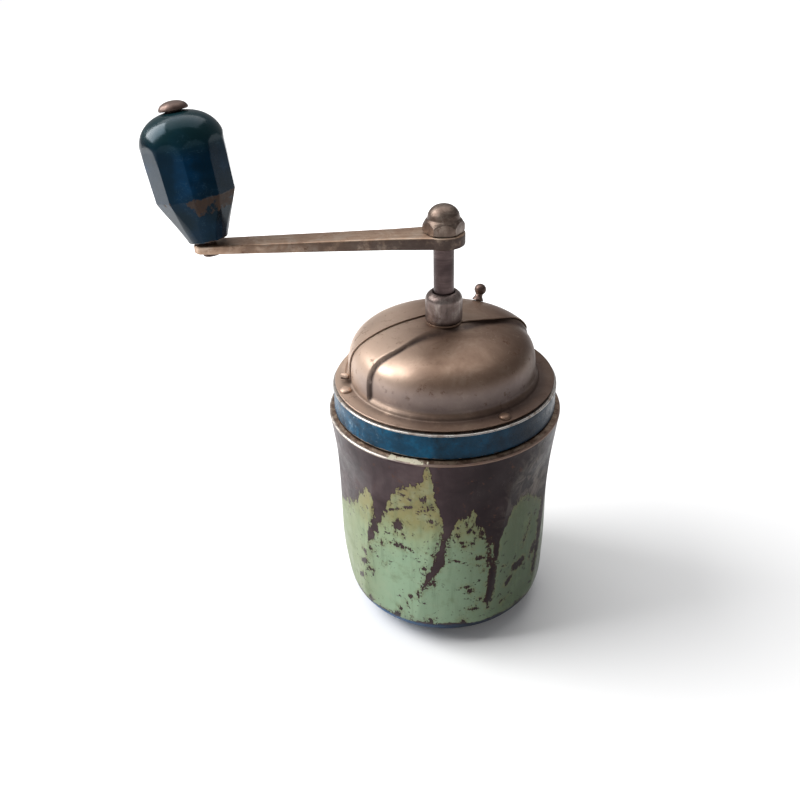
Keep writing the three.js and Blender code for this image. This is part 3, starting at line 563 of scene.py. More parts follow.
SHAFT_STEEL = metal_material("dark_shaft_steel", srgb(52, 40, 40), srgb(72, 58, 57), srgb(96, 80, 78),
                             srgb(58, 38, 32), 0.4, 0.4, patch=12, brushed=(20, 20, 0.7), stains=0.4,
                             metallic=0.75)
NUT_PLATE = metal_material("worn_nickel_nut", srgb(68, 54, 47), srgb(100, 86, 77), srgb(142, 129, 118),
                           srgb(62, 38, 28), 0.37, 0.35, patch=6, stains=0.95, depth=0.12, metallic=0.85)
TIN = metal_material("dull_tin_plate", srgb(112, 106, 98), srgb(146, 140, 130), srgb(178, 172, 162),
                     srgb(104, 84, 62), 0.4, 0.6, patch=12)
IRON = metal_material("dark_iron", srgb(34, 32, 31), srgb(56, 53, 51), srgb(88, 84, 80),
                      srgb(70, 48, 36), 0.48, 0.5, patch=7, depth=0.1)
RIVET_BRASS = metal_material("spindle_cap", srgb(64, 50, 45), srgb(90, 73, 66), srgb(122, 104, 94),
                             srgb(54, 34, 26), 0.42, 0.4, patch=5, metallic=0.8)
KNOB_LACQUER = knob_material()


def colour_points(piece, **values):
    """Stores a number per vertex under each name, for the materials to read."""
    for name, numbers in values.items():
        layer = piece.data.attributes.new(name, "FLOAT", "POINT")
        layer.data.foreach_set("value", np.asarray(numbers, np.float32))


def place_of(piece):
    """A piece's vertices in millimetres, with their azimuth in degrees and distance from the shaft's axis."""
    flat = np.empty(len(piece.data.vertices) * 3, np.float32)
    piece.data.vertices.foreach_get("co", flat)
    points = flat.reshape(-1, 3) / MM
    x, y = points[:, 0], points[:, 1]
    return points, np.degrees(np.arctan2(y, x)) % 360, np.hypot(x, y)


# ---------------------------------------------------------------- receiver cup

cup = Box("receiver_cup")
CUP_WALL = 1.0
RIM_Z = cup.top - 0.5
RIDGE_AZIMUTH = 262  # a ridge at half height, in degrees
SLANT = 0.2  # degrees that the ridges turn in each millimetre of height
FLUTES = 10
FLUTE_DEPTH = 1.3
DENT_AZIMUTH = 250  # the rim's dent at the front left
MM_PER_DEGREE = 0.8  # round the cup's wall


def fluted(grid):
    """Presses the flutes in, slants them, and dents the rim."""
    x, y, z = grid[..., 0], grid[..., 1], grid[..., 2]
    radius, angle = np.hypot(x, y), np.arctan2(y, x)
    pitch = TURN / FLUTES
    across = angle / pitch - np.round(angle / pitch)
    hollow = 1 - (1 - 2 * np.abs(across)) ** 2
    depth = FLUTE_DEPTH * smooth(6, 22, z) * (1 - smooth(72, 90, z))
    radius = radius - depth * hollow * smooth(20, 34, radius)
    turned = angle + np.radians(RIDGE_AZIMUTH + SLANT * (z - RIM_Z / 2))
    dent = np.exp(-((np.degrees(turned) % 360 - DENT_AZIMUTH) / 7) ** 2) * smooth(RIM_Z - 3, RIM_Z, z)
    outer = smooth(46, 48, radius)
    return np.stack([radius * np.cos(turned), radius * np.sin(turned), z - 0.7 * dent * outer], axis=-1)


def receiver_cup():
    rim = cup.radius - 0.03
    wall = curve([(30.2, 0.03), (33.8, 1.1), (37.2, 3.2), (40.3, 6.0), (42.7, 9.3), (44.3, 13.3), (45.2, 19),
                  (45.75, 30), (45.8, 45), (45.7, 60), (46.0, 74), (46.7, 85), (47.5, 92.5),
                  (rim, RIM_Z - 0.9)], 0.9)
    lip = [(rim, RIM_Z - 0.35), (rim - 0.15, RIM_Z - 0.1), (rim - 0.45, RIM_Z), (rim - 0.9, RIM_Z + 0.02),
           (rim - 1.8, RIM_Z + 0.18), (45.6, RIM_Z + 0.42), (45.25, RIM_Z + 0.42), (45.1, RIM_Z + 0.25),
           (45.15, RIM_Z - 0.1), (45.6, RIM_Z - 0.5), (46.6, RIM_Z - 1.0), (47.0, RIM_Z - 1.7)]
    inner = [(r - CUP_WALL, z + 0.6) for r, z in wall[::-3] if z < RIM_Z - 3]
    floor = [(29.2, CUP_WALL), (20, CUP_WALL), (10, CUP_WALL), (0, CUP_WALL)]
    base = [(0, 0), (10, 0), (20, 0), (27, 0), (29.2, 0)]
    columns = 360
    part = spin([*base, *wall, *lip, *inner, *floor], columns, fluted)
    piece = mesh_piece("cup_with_worn_paint", part, "cup", ["receiver_cup"], CUP_PAINT, 50)
    points, azimuth, radius = place_of(piece)
    z = points[:, 2]
    row = np.arange(len(points)) // columns + 1
    inside = row >= len(base) + len(wall) + len(lip)
    inside[-2] = False  # the middle of the bottom's outer face
    edge = smooth(RIM_Z - 0.7, RIM_Z - 0.4, z) * smooth(47.0, 47.4, radius)
    ledge = (z > RIM_Z - 0.45 - 0.6 * (radius < 47.3)) & (radius < 48.2)
    paint, haze = cup_paint(azimuth, z)
    chip = 1.0 - np.hypot((azimuth - 251) * MM_PER_DEGREE / 8.5, (radius - 46.9) / 1.5)
    paint = np.where(ledge, np.maximum(chip * 4, -6), paint)
    colour_points(piece, paint=paint, haze=haze, rim=edge, ledge=ledge, inside=inside)


# Height of the green paint's upper edge at azimuths from 190 degrees (the left) round to 550.
PAINT_TOP = [(190, 52), (200, 56), (210, 60), (215, 63), (219, 69), (225, 73), (229, 74.5), (231.5, 73),
             (232.5, 60), (234, 60), (236, 64), (238, 67), (240, 72), (243, 77), (247, 80), (250, 82),
             (254, 84), (257, 86), (260, 87.5), (260.6, 92), (261.5, 95), (263.6, 95), (264.4, 91),
             (265, 88), (265, 83), (266, 79.5), (268, 73), (269.5, 68), (270.2, 58), (271, 58), (274, 62),
             (276, 66), (279, 68.5), (283, 69), (285, 73), (287, 66), (290, 62), (293, 57), (296, 54),
             (298, 50), (300, 56), (303, 61), (308, 67), (312, 70), (318, 71), (330, 63), (335, 60),
             (340, 57), (348, 68), (356, 78), (366, 72), (372, 60), (376, 55), (384, 66), (392, 77),
             (400, 72), (408, 60), (412, 54), (420, 65), (430, 79), (438, 74), (444, 60), (449, 55),
             (456, 66), (466, 75), (474, 69), (480, 58), (485, 54), (492, 65), (500, 76), (508, 72),
             (516, 60), (521, 54), (530, 62), (540, 66), (550, 50)]

# Bare streaks along the ridges: (azimuth, height, half width in degrees) from the top down. Those behind are
# a loop, a streak on each ridge.
PAINT_STREAKS = [
    [(234.5, 68, 2.5), (231.5, 60, 2.0), (228.5, 52, 2.2), (226, 47, 0.7)],
    [(270, 64, 0.8), (269.3, 56, 1.5), (268, 48, 2.4), (266, 44, 2.6), (262.5, 39, 1.6), (258, 31, 0.6)],
    [(297.5, 62, 2.0), (297.5, 50, 1.8), (295.5, 40, 1.6), (294.5, 32, 2.2), (294, 24, 2.4),
     (294, 18.5, 1.0)],
    [(337, 64, 3.0), (333, 50, 2.4), (329, 34, 1.8), (327, 24, 0.6)],
    *[[(RIDGE_AZIMUTH + 36 * k + 4, 70, 2.2), (RIDGE_AZIMUTH + 36 * k, 52, 2.4),
       (RIDGE_AZIMUTH + 36 * k - 4, 30 + 5 * math.sin(2.6 * k), 0.6)] for k in range(3, 8)],
]

# Larger chips: azimuth, height, half width in degrees, half height, lean in degrees per millimetre.
PAINT_CHIPS = [
    (245.5, 62, 2.4, 2.7, 0), (246, 58, 2.2, 0.9, 0), (244.5, 70.2, 1.1, 2.4, 2.9),
    (235, 50.5, 2.0, 1.2, 0), (244, 51.5, 3.6, 0.9, 0), (251.5, 52, 1.4, 0.6, 0), (236.5, 39, 1.1, 0.9, 0),
    (223, 41, 2.6, 1.2, 0.6), (221, 34.5, 2.6, 2.2, 0.8), (217, 25, 2.2, 2.2, 0.8),
    (226, 44.5, 1.6, 0.8, 0), (227, 33, 1.4, 0.7, 0), (262.5, 74.5, 1.0, 0.8, 0),
    (258.5, 73.5, 0.8, 0.7, 0), (262, 68, 1.2, 0.7, 0), (250, 79, 0.9, 0.6, 0), (259, 78, 1.0, 0.5, 0),
    (256.5, 30, 1.2, 1.2, 0), (264, 36, 1.8, 1.6, 0.3), (260, 43, 0.7, 0.7, 0), (250, 21.5, 0.9, 0.9, 0),
    (251.5, 26, 0.6, 0.6, 0), (245, 17, 0.7, 0.7, 0), (278.5, 56.5, 1.8, 1.0, -0.6),
    (281, 54.5, 1.6, 0.9, 0), (285.5, 55.5, 1.2, 1.5, 0.5), (284, 61.5, 2.4, 1.0, -1.0),
    (286.5, 66, 1.2, 2.8, 0.5), (281.5, 65.5, 0.9, 1.4, 0), (288, 47.5, 2.6, 0.9, 0.6),
    (293, 55, 1.7, 2.8, 0.2), (291, 63, 1.2, 2.4, 0.3), (294, 45, 1.0, 2.0, 0), (289.5, 60, 1.6, 2.4, 0.4),
    (280.5, 62, 1.6, 1.0, 0.6), (276.5, 60, 1.0, 1.4, 0), (293.5, 50, 1.4, 2.0, 0),
    (282, 45.5, 1.2, 3.6, -3.4), (284.5, 30, 1.7, 1.1, 0), (281, 33, 0.9, 0.5, 0), (289, 25, 1.1, 1.0, 0),
    (286, 20, 1.2, 0.7, 0), (290.5, 41, 0.9, 1.2, 0), (307, 29.5, 2.4, 2.2, 0.6),
    (313.5, 35.5, 4.0, 2.4, 0.8), (303, 19, 1.6, 0.8, 0.5), (320, 50, 1.2, 3.0, 0.4),
    (326, 38, 2.4, 4.0, 0.5), (333, 26, 3.0, 5.0, 0.4), (241.5, 12, 2.0, 2.6, 0.6),
    (251.5, 11.5, 1.2, 1.8, 0), (262.5, 12.5, 2.4, 2.6, 0), (280.5, 12, 2.0, 3.0, -0.3),
    (223, 13, 1.6, 2.0, 0), (50, 44, 3.0, 2.2, 0.3), (95, 58, 2.0, 3.0, 0.2), (140, 30, 3.0, 1.6, 0.3),
    (170, 52, 2.0, 2.4, 0.3), (20, 28, 2.0, 1.5, 0), (118, 22, 1.6, 3.4, 0.3)]


def cup_paint(azimuth, z):
    """Distance in millimetres inside the paint's edge (negative on bare metal), and a painted sheen above it.
    """
    turn = (azimuth - 190) % 360 + 190
    top = np.interp(turn, *zip(*PAINT_TOP))
    inside = (top - z) * 0.7
    for line in PAINT_STREAKS:
        at, height, half = np.array(line[::-1]).T
        middle = np.interp(z, height, at)
        width = np.interp(z, height, half)
        away = np.abs((turn - middle + 180) % 360 - 180)
        beyond = np.maximum(0, np.maximum(height[0] - z, z - height[-1]))
        side = np.where((away > width) | (beyond > 0), 1, -1)
        inside = np.minimum(inside, np.hypot((away - width) * MM_PER_DEGREE, beyond) * side)
    for at, height, half, tall, lean in PAINT_CHIPS:
        away = ((turn - at - lean * (z - height) + 180) % 360 - 180) / half
        size = min(half * MM_PER_DEGREE, tall)
        inside = np.minimum(inside, (np.hypot(away, (z - height) / tall) - 1) * size)
    lower = 11.6 + 0.9 * np.sin(np.radians(turn * 7)) + 0.6 * np.sin(np.radians(turn * 17 + 40))
    inside = np.minimum(inside, z - lower)
    # Where the painted sheen lies: round the right front and at the back, a little above the paint.
    fade = np.exp(-((turn - 322) / 16) ** 2) + 0.5 * np.exp(-((turn - 420) / 40) ** 2)
    haze = fade * np.exp(-((z - top - 8) / 14) ** 2) * 0.8
    return inside, haze


receiver_cup()


# ---------------------------------------------------------------- mill housing

shell = Box("hopper_shell")
funnel = Box("hopper_funnel")
dome = Box("hopper_dome")
SHEET = 0.8
SKIRT = shell.radius - 1.2
BAND_BOTTOM = RIM_Z + 1.2


def hopper_shell():
    outer, top = shell.radius - 0.02, shell.top
    rows = fillet([
        (SKIRT, shell.bottom), (SKIRT, BAND_BOTTOM, 0.3), (outer - 0.05, BAND_BOTTOM, 0.5),
        (outer - 0.1, BAND_BOTTOM + 2), (outer - 0.25, (BAND_BOTTOM + top) / 2), (outer, top - 2),
        (outer, top, 0.7), (38.6, top, 0.3), (38.6, top - SHEET, 0.3), (outer - SHEET, top - SHEET, 0.5),
        (outer - SHEET, BAND_BOTTOM + SHEET, 0.5), (SKIRT - SHEET, BAND_BOTTOM + SHEET, 0.4),
        (SKIRT - SHEET, shell.bottom)])
    part = spin(closed_outline(rows, 1.2), 288)
    piece = mesh_piece("hopper_band", part, "mill", ["hopper_shell"], BAND_PAINT)
    points, azimuth, radius = place_of(piece)
    z = points[:, 2]
    upper = smooth(top - 0.6, top - 0.4, z)
    lower = 1 - smooth(BAND_BOTTOM + 0.1, BAND_BOTTOM + 1.2, z)
    hidden = (z < BAND_BOTTOM - 0.2) | (radius < outer - 0.7)
    left = 0.25 * np.exp(-((azimuth - 240) / 30) ** 2)
    edge = np.maximum(np.maximum(upper * 1.7, lower * (0.62 + left)), hidden * 1.5)
    colour_points(piece, edge=edge)


def hopper_funnel():
    low, rim = funnel.bottom, funnel.radius - 0.02
    rows = fillet([
        (11.4, low, 0.2), (27, low, 2), (rim, 88.6, 2), (rim, funnel.top, 0.3),
        (rim - SHEET, funnel.top, 0.3), (rim - SHEET, 89, 2), (26.6, low + SHEET, 2),
        (11.4, low + SHEET, 0.2)])
    part = spin(closed_outline(rows, 2), 192)
    mesh_piece("hopper_funnel_sheet", part, "mill", ["hopper_funnel"], TIN)


hopper_shell()
hopper_funnel()


# ---------------------------------------------------------------- dome and shutter

FLANGE_Z = shell.top + 1.4
WALL = 38.3
SPRING_Z = 112.9
CHORD = math.radians(30)  # azimuth of the line across the dome, along which it is stepped in
RECESS = 1.35
AXIS_HOLE = 6.0


def dome_height(radius, offset=0.0):
    reach = np.minimum(1, np.asarray(radius, float) / (WALL + offset))
    return SPRING_Z + (dome.top + offset - SPRING_Z) * (1 - reach ** 3.0) ** (1 / 3.2)


def dome_line(offset, last_radius):
    """Even steps over a dome skin, from its wall foot to a radius near the axis."""
    angles = np.linspace(0, 1, 400)
    radii = (WALL + offset) * (1 - angles ** 3 * (1 - last_radius / (WALL + offset)))
    fine = np.stack([radii, dome_height(radii, offset)], axis=1)
    along = np.concatenate([[0], np.cumsum(np.hypot(*np.diff(fine, axis=0).T))])
    even = np.linspace(0, along[-1], 56)
    return list(zip(np.interp(even, along, fine[:, 0]), np.interp(even, along, fine[:, 1])))


def chord_place(x, y):
    """Along and across the line that divides the dome; across grows toward the front."""
    return (x * math.cos(CHORD) + y * math.sin(CHORD), x * math.sin(CHORD) - y * math.cos(CHORD))


def crease_across(along):
    return 6.3 + 2.3 * np.exp(-((along + 25) / 8) ** 2)


def front_step(x, y, z):
    """0 behind the crease to 1 on the stepped-in front."""
    along, across = chord_place(x, y)
    crease = crease_across(along)
    half = 0.5 + 1.1 * smooth(-26, -8, along)
    return smooth(crease - half, crease + half, across) * smooth(110.2, 112.4, z)


def step_in(grid):
    x, y, z = (grid[..., i].copy() for i in range(3))
    radius = np.maximum(np.hypot(x, y), 1e-6)
    depth = RECESS * front_step(x, y, z)
    wallness = smooth(0.6, 0.99, radius / WALL)
    scale = 1 - depth * wallness / radius
    drop = depth * np.sqrt(np.maximum(0, 1 - wallness ** 2)) * smooth(SPRING_Z, SPRING_Z + 6, z)
    return np.stack([x * scale, y * scale, z - drop], axis=-1)


def nickel_sheet(name, grid, thickness, body, nodes, keep=None, closed=False):
    """A plate from a grid of outside points, thickened inward; keep(middle of a face) chooses its faces."""
    points = grid.reshape(-1, 3)
    faces = quads(*grid.shape[:2], round_columns=closed)
    if keep:
        faces = [face for face in faces if keep(points[list(face)].mean(axis=0))]
    corners = points[np.array(faces)]
    across = np.cross(corners[:, 2] - corners[:, 0], corners[:, 3] - corners[:, 1])
    normals = np.zeros_like(points)
    for k in range(4):
        np.add.at(normals, np.array(faces)[:, k], across)
    normals /= np.maximum(np.linalg.norm(normals, axis=1), 1e-12)[:, None]
    outward = 1 if (normals * points).sum() > 0 else -1
    inner = points - outward * thickness * normals
    edges = {}
    for face in faces:
        for pair in zip(face, face[1:] + face[:1]):
            edges[pair] = edges.get(pair, 0) + 1
    count = len(points)
    walls = [(b, a, a + count, b + count) for a, b in edges if (b, a) not in edges]
    every = faces + [tuple(i + count for i in reversed(face)) for face in faces] + walls
    used = sorted({i for face in every for i in face})
    number = {old: new for new, old in enumerate(used)}
    part = np.concatenate([points, inner])[used], [tuple(number[i] for i in face) for face in every]
    return mesh_piece(name, part, body, nodes, NICKEL, crease=35)


def hopper_dome():
    flange = dome.radius - 0.03
    foot = fillet([(flange, FLANGE_Z - 0.15), (flange - 0.12, FLANGE_Z, 0.1), (42, FLANGE_Z),
                   (WALL + 0.05, FLANGE_Z, 1.1), (WALL, FLANGE_Z + 2), (WALL, SPRING_Z)], 6)
    rows = divide(foot, 0.8)[:-1] + dome_line(0, AXIS_HOLE)
    grid = step_in(turn_rows(rows, np.linspace(0, TURN, 360, endpoint=False)))

    def keep(middle):
        """Not the filler opening at the rear."""
        azimuth = math.degrees(math.atan2(middle[1], middle[0])) % 360
        return not (50 < azimuth < 165 and math.hypot(*middle[:2]) > 13 and middle[2] > 116)

    piece = nickel_sheet("dome_with_stepped_front", grid, SHEET, "mill", ["hopper_dome"], keep, closed=True)
    points, azimuth, radius = place_of(piece)
    along, across = chord_place(points[:, 0], points[:, 1])
    z = points[:, 2]
    # Painted shade: a dark line in the crease's step, along the wall's foot and over the lower front.
    width = 0.7 + 1.5 * smooth(-24, -6, along)
    groove = np.exp(-((across - crease_across(along) - 0.5 * width) / width) ** 2) * smooth(110, 112, z)
    groove *= 1.0 - 0.15 * smooth(-26, -8, along)
    foot_shade = 0.35 * np.exp(-((radius - WALL - 1.2) / 2.2) ** 2) * smooth(112.5, 110, z)
    front = smooth(126, 114, z) * (0.2 + 0.25 * np.cos(np.radians(azimuth - 300)))
    colour_points(piece, dirt=np.clip(groove + foot_shade + front, 0, 1))


hopper_dome()

shutter = Box("filler_shutter")
SHUTTER_SHEET = 0.4
SHUTTER_OFFSET = 0.65
BRIM = shutter.radius - 0.05
BRIM_Z = FLANGE_Z + 2.4


def lifted(grid):
    """Raises the shutter's brim at the left rear."""
    x, y, z = grid[..., 0], grid[..., 1], grid[..., 2]
    bump = np.exp(-((np.degrees(np.arctan2(y, x)) - 152) / 20) ** 2)
    return np.stack([x, y, z + 2.0 * bump * smooth(WALL + 0.5, 44.3, np.hypot(x, y))], axis=-1)


def shutter_edges(rows):
    """Azimuths of the shutter's right and left edges at each row of its skin."""
    radii, heights = np.array(rows, float).T
    behind = np.interp(radii, [7, 10, 14, 20, 25, 30, 34], [-5.4, -5.8, -6.9, -7.9, -7.5, -5.8, -4.8])
    behind += (2.2 - behind) * smooth(125, 113, heights)
    right = CHORD + np.arcsin(behind / radii)
    left_line = np.array(curve([(-2, 7.8), (-14, 7.8), (-26, 7.7), (-31, 8.2), (-34, 9.2), (-36.6, 10.8),
                                (-38.4, 14.0), (-42, 16.8), (-50, 22.7)], 0.5))
    reach = np.hypot(*left_line.T)
    order = np.argsort(reach)
    left = CHORD + np.interp(radii, reach[order], np.arctan2(left_line[:, 1], left_line[:, 0])[order])
    return right, left


def filler_shutter():
    wall = WALL + SHUTTER_OFFSET
    foot = fillet([(BRIM, BRIM_Z - 0.12), (BRIM - 0.15, BRIM_Z, 0.1), (42, BRIM_Z),
                   (wall + 0.05, BRIM_Z, 1.4), (wall, BRIM_Z + 2.2)], 6)
    line = [row for row in dome_line(SHUTTER_OFFSET, 7.2) if row[1] > BRIM_Z + 2.4]
    rows = divide(foot, 0.8) + line
    right, left = shutter_edges(rows)
    share = np.linspace(0, 1, 181)[None, :]
    grid = lifted(turn_rows(rows, right[:, None] * (1 - share) + left[:, None] * share))
    nickel_sheet("filler_shutter_skin", grid, SHUTTER_SHEET, "shutter", ["filler_shutter"])
    high = dome_height(7.0, SHUTTER_OFFSET)
    low, inside, outside = high - 0.65, 5.95, 7.15
    hub = fillet([(inside, low, 0.1), (outside, low, 0.1), (outside, high + 0.05, 0.15),
                  (inside, high + 0.1, 0.15)])
    mesh_piece("shutter_hub", spin(hub), "shutter", [], NICKEL)
    shutter_hem(grid)


def bead(path, radius, sides=20):
    """A round bead along a path, with domed ends."""
    ahead = np.gradient(path, axis=0)
    ahead /= np.linalg.norm(ahead, axis=1)[:, None]
    side = np.cross(ahead, (0, 0, 1))
    side /= np.linalg.norm(side, axis=1)[:, None]
    lift = np.cross(side, ahead)
    angles = np.arange(sides)[:, None] * TURN / sides

    def ring(where, scale=1.0, shift=0.0):
        centre = path[where] + ahead[where] * shift * radius
        return centre + scale * radius * (np.cos(angles) * side[where] + np.sin(angles) * lift[where])

    rings = [ring(0, 0.7, -0.7), *(ring(i) for i in range(len(path))), ring(-1, 0.7, 0.7)]
    return with_tips(np.array(rings), ring(0, 0, -1)[0], ring(-1, 0, 1)[0])


def shutter_hem(grid):
    """Rolled bead along the shutter's left edge, on the brim."""
    brim = grid[:, -1]
    outer = brim[(np.hypot(brim[:, 0], brim[:, 1]) > WALL + 1.4)]
    part = bead(outer + (0, 0, 0.3), 1.3)
    piece = mesh_piece("shutter_hem", part, "shutter", [], NICKEL)
    points = place_of(piece)[0]
    # Painted shadow on the bead's lower side, next to the brim.
    colour_points(piece, dirt=smooth(BRIM_Z + 0.9, BRIM_Z - 0.3, points[:, 2]))


filler_shutter()


def shutter_knob():
    azimuth, radius, lean = math.radians(60), 28.5, math.radians(28)
    height = float(dome_height(radius, SHUTTER_OFFSET))
    foot = Vector((radius * math.cos(azimuth), radius * math.sin(azimuth), height)) * MM
    placed = Matrix.Translation(foot) @ Matrix.Rotation(azimuth, 4, "Z") @ Matrix.Rotation(lean, 4, "Y")
    rows = [(0, -0.6), (0.9, -0.6), (0.9, 0.2), (2.3, 0.2)] + curve(
        [(2.35, 0.6), (2.1, 1.1), (1.75, 1.7), (1.55, 2.4), (1.6, 3.0), (1.9, 3.45)], 0.25) + [
        (2.5 * math.cos(t), 4.95 + 2.4 * math.sin(t)) for t in np.linspace(-0.68, 1.5, 18)] + [(0, 7.36)]
    part = spin(rows, 48)
    mesh_piece("shutter_ball_knob", part, "shutter", ["shutter_knob"], RIVET_BRASS,
               placed=placed)


shutter_knob()


def dome_rivets():
    head_height = 1.3
    rows = curve([(2.25, 0), (2.28, 0.3), (2.15, 0.65), (1.75, 1.0), (1.15, 1.22), (0.5, 1.29),
                  (0, head_height)], 0.2)
    for number in (1, 2, 3):
        name = f"dome_rivet_{number}"
        box = Box(name)
        tail = box.bottom - FLANGE_Z
        seat = box.top - head_height - FLANGE_Z
        outline = [(0, tail), (1.5, tail), (1.95, tail + 0.4), (1.95, tail + 0.85), (1.2, tail + 0.9),
                   (1.2, seat)]
        outline += [(r, z + seat) for r, z in rows]
        place = Matrix.Translation(Vector((box.centre[0], box.centre[1], FLANGE_Z)) * MM)
        mesh_piece(f"{name}_head", spin(outline, 40), "mill", [name], NICKEL, placed=place)


dome_rivets()


# ---------------------------------------------------------------- shaft, collar and crank

shaft = Box("main_shaft")
collar = Box("top_bushing")
arm = Box("crank_arm")
nut = Box("cap_nut")


def top_bushing():
    r, top, seat = collar.radius - 0.02, collar.top, dome.top + 0.95
    rows = fillet([
        (4.3, collar.bottom), (5.6, collar.bottom, 0.3), (5.6, seat, 0.1), (r - 0.25, seat, 0.3),
        (r, seat + 1.0, 0.4), (r, top - 2.6, 0.8), (r - 0.7, top - 1.2, 0.8), (r - 1.9, top - 0.15, 0.8),
        (4.7, top, 0.2), (4.3, top - 0.4)])
    part = spin(closed_outline(rows, 0.8), 128)
    mesh_piece("shaft_collar", part, "mill", ["top_bushing"], BUSHING_STEEL)


def main_shaft():
    r, tip = 4.0, 3.3
    shoulder = arm.bottom - 0.3
    rows = [(0, shaft.bottom), (r - 0.5, shaft.bottom), (r, shaft.bottom + 0.5), (r, shoulder - 0.3),
            (r - 0.3, shoulder), (tip, shoulder), (tip, shaft.top - 0.5), (tip - 0.5, shaft.top),
            (0, shaft.top)]
    mesh_piece("crank_shaft", spin(divide(rows, 3)), "crank", ["main_shaft"], SHAFT_STEEL)


spin_joint = joint("knob_spin")
SPINDLE_FOOT = Vector(spin_joint["pos_m"])
SPINDLE_AXIS = Vector(spin_joint["axis"]).normalized()
CRANK_AZIMUTH = math.atan2(SPINDLE_FOOT.y, SPINDLE_FOOT.x)
ARM_LENGTH = math.hypot(SPINDLE_FOOT.x, SPINDLE_FOOT.y) / MM
CRANK_TURN = Matrix.Rotation(CRANK_AZIMUTH, 4, "Z")
SPINDLE_X = (CRANK_TURN @ Vector((0, 1, 0))).cross(SPINDLE_AXIS).normalized()
SPINDLE_Y = SPINDLE_AXIS.cross(SPINDLE_X)
SPINDLE_AXES = Matrix((SPINDLE_X, SPINDLE_Y, SPINDLE_AXIS)).transposed().to_4x4()
ON_SPINDLE = Matrix.Translation(SPINDLE_FOOT) @ SPINDLE_AXES


def crank_arm():
    eye, half, end = 8.25, 4.9, ARM_LENGTH + 5.65
    low, thick, thin = arm.bottom, 4.7, 3.3
    bow = math.radians(60)
    outline = [(end, 2.6 - half), (end, half - 2.6), (end - 0.5, half - 1.6), (end - 2.1, half - 0.1),
               (end - 3.4, half)]
    outline += [(ARM_LENGTH * 0.5, half + 0.6), (19, 6.05), (11.5, 6.65)]
    outline += [(eye * math.cos(t), eye * math.sin(t)) for t in np.linspace(bow, TURN - bow, 60)]
    outline += [(x, -y) for x, y in outline[7:2:-1]] + [(end - 2.1, 0.1 - half), (end - 0.5, 1.6 - half)]

    def top(x):
        return low + thick - (thick - thin) * min(1.1, max(0.0, (x - eye) / (ARM_LENGTH - eye)))

    part = extruded(outline, low, top, bend=eye)
    piece = mesh_piece("crank_arm_bar", part, "crank", ["crank_arm"], ARM_STEEL)
    bevel(piece, 0.55)
    points = place_of(piece)[0]
    # Painted shade on the arm's sides below its top face, strongest near the eye.
    under = np.array([top(x) for x in points[:, 0]]) - points[:, 2]
    along = np.interp(points[:, 0], [10, 45, 70, 90], [0.95, 0.75, 0.45, 0.0])
    colour_points(piece, dirt=smooth(0.15, 0.5, under) * along)
    piece.data.transform(CRANK_TURN)


def cap_nut():
    low = nut.bottom
    flats, corner, cap = 7.0, 8.05, 6.25
    rows = [(0, low + 7.2), (3.6, low + 7.2), (3.6, low), (corner - 0.6, low)]
    rows += [(corner, low + 0.5), (corner, low + 2.7), (corner - 1.2, low + 4.6), (cap + 0.2, low + 5.0),
             (cap, low + 5.2), (cap - 0.1, low + 5.6)]
    rows += curve([(cap - 0.15, low + 5.9), (5.75, low + 7.2), (4.6, low + 8.75), (3.1, low + 9.75),
                   (1.5, low + 10.15), (0, low + 10.2)], 0.5)

    def hexagon(phi, radius, z):
        flat = rounded_polygon(phi, flats, 6, 90, math.radians(30))
        return np.where(radius > 4, np.minimum(radius, flat), radius)

    part = spin(divide(rows, 0.3), 240, lambda grid: limit_radius(grid, hexagon))
    piece = mesh_piece("acorn_nut", part, "crank", ["cap_nut"], NUT_PLATE, crease=30)
    piece.data.transform(CRANK_TURN)


KNOB_SEAT = 1.45
KNOB_HEIGHT = 46.5
FACETS = 10
FACETS_TURNED = math.radians(10)
WORN_SIDE = math.radians(126)  # where a hand has worn the lacquer through, round the knob


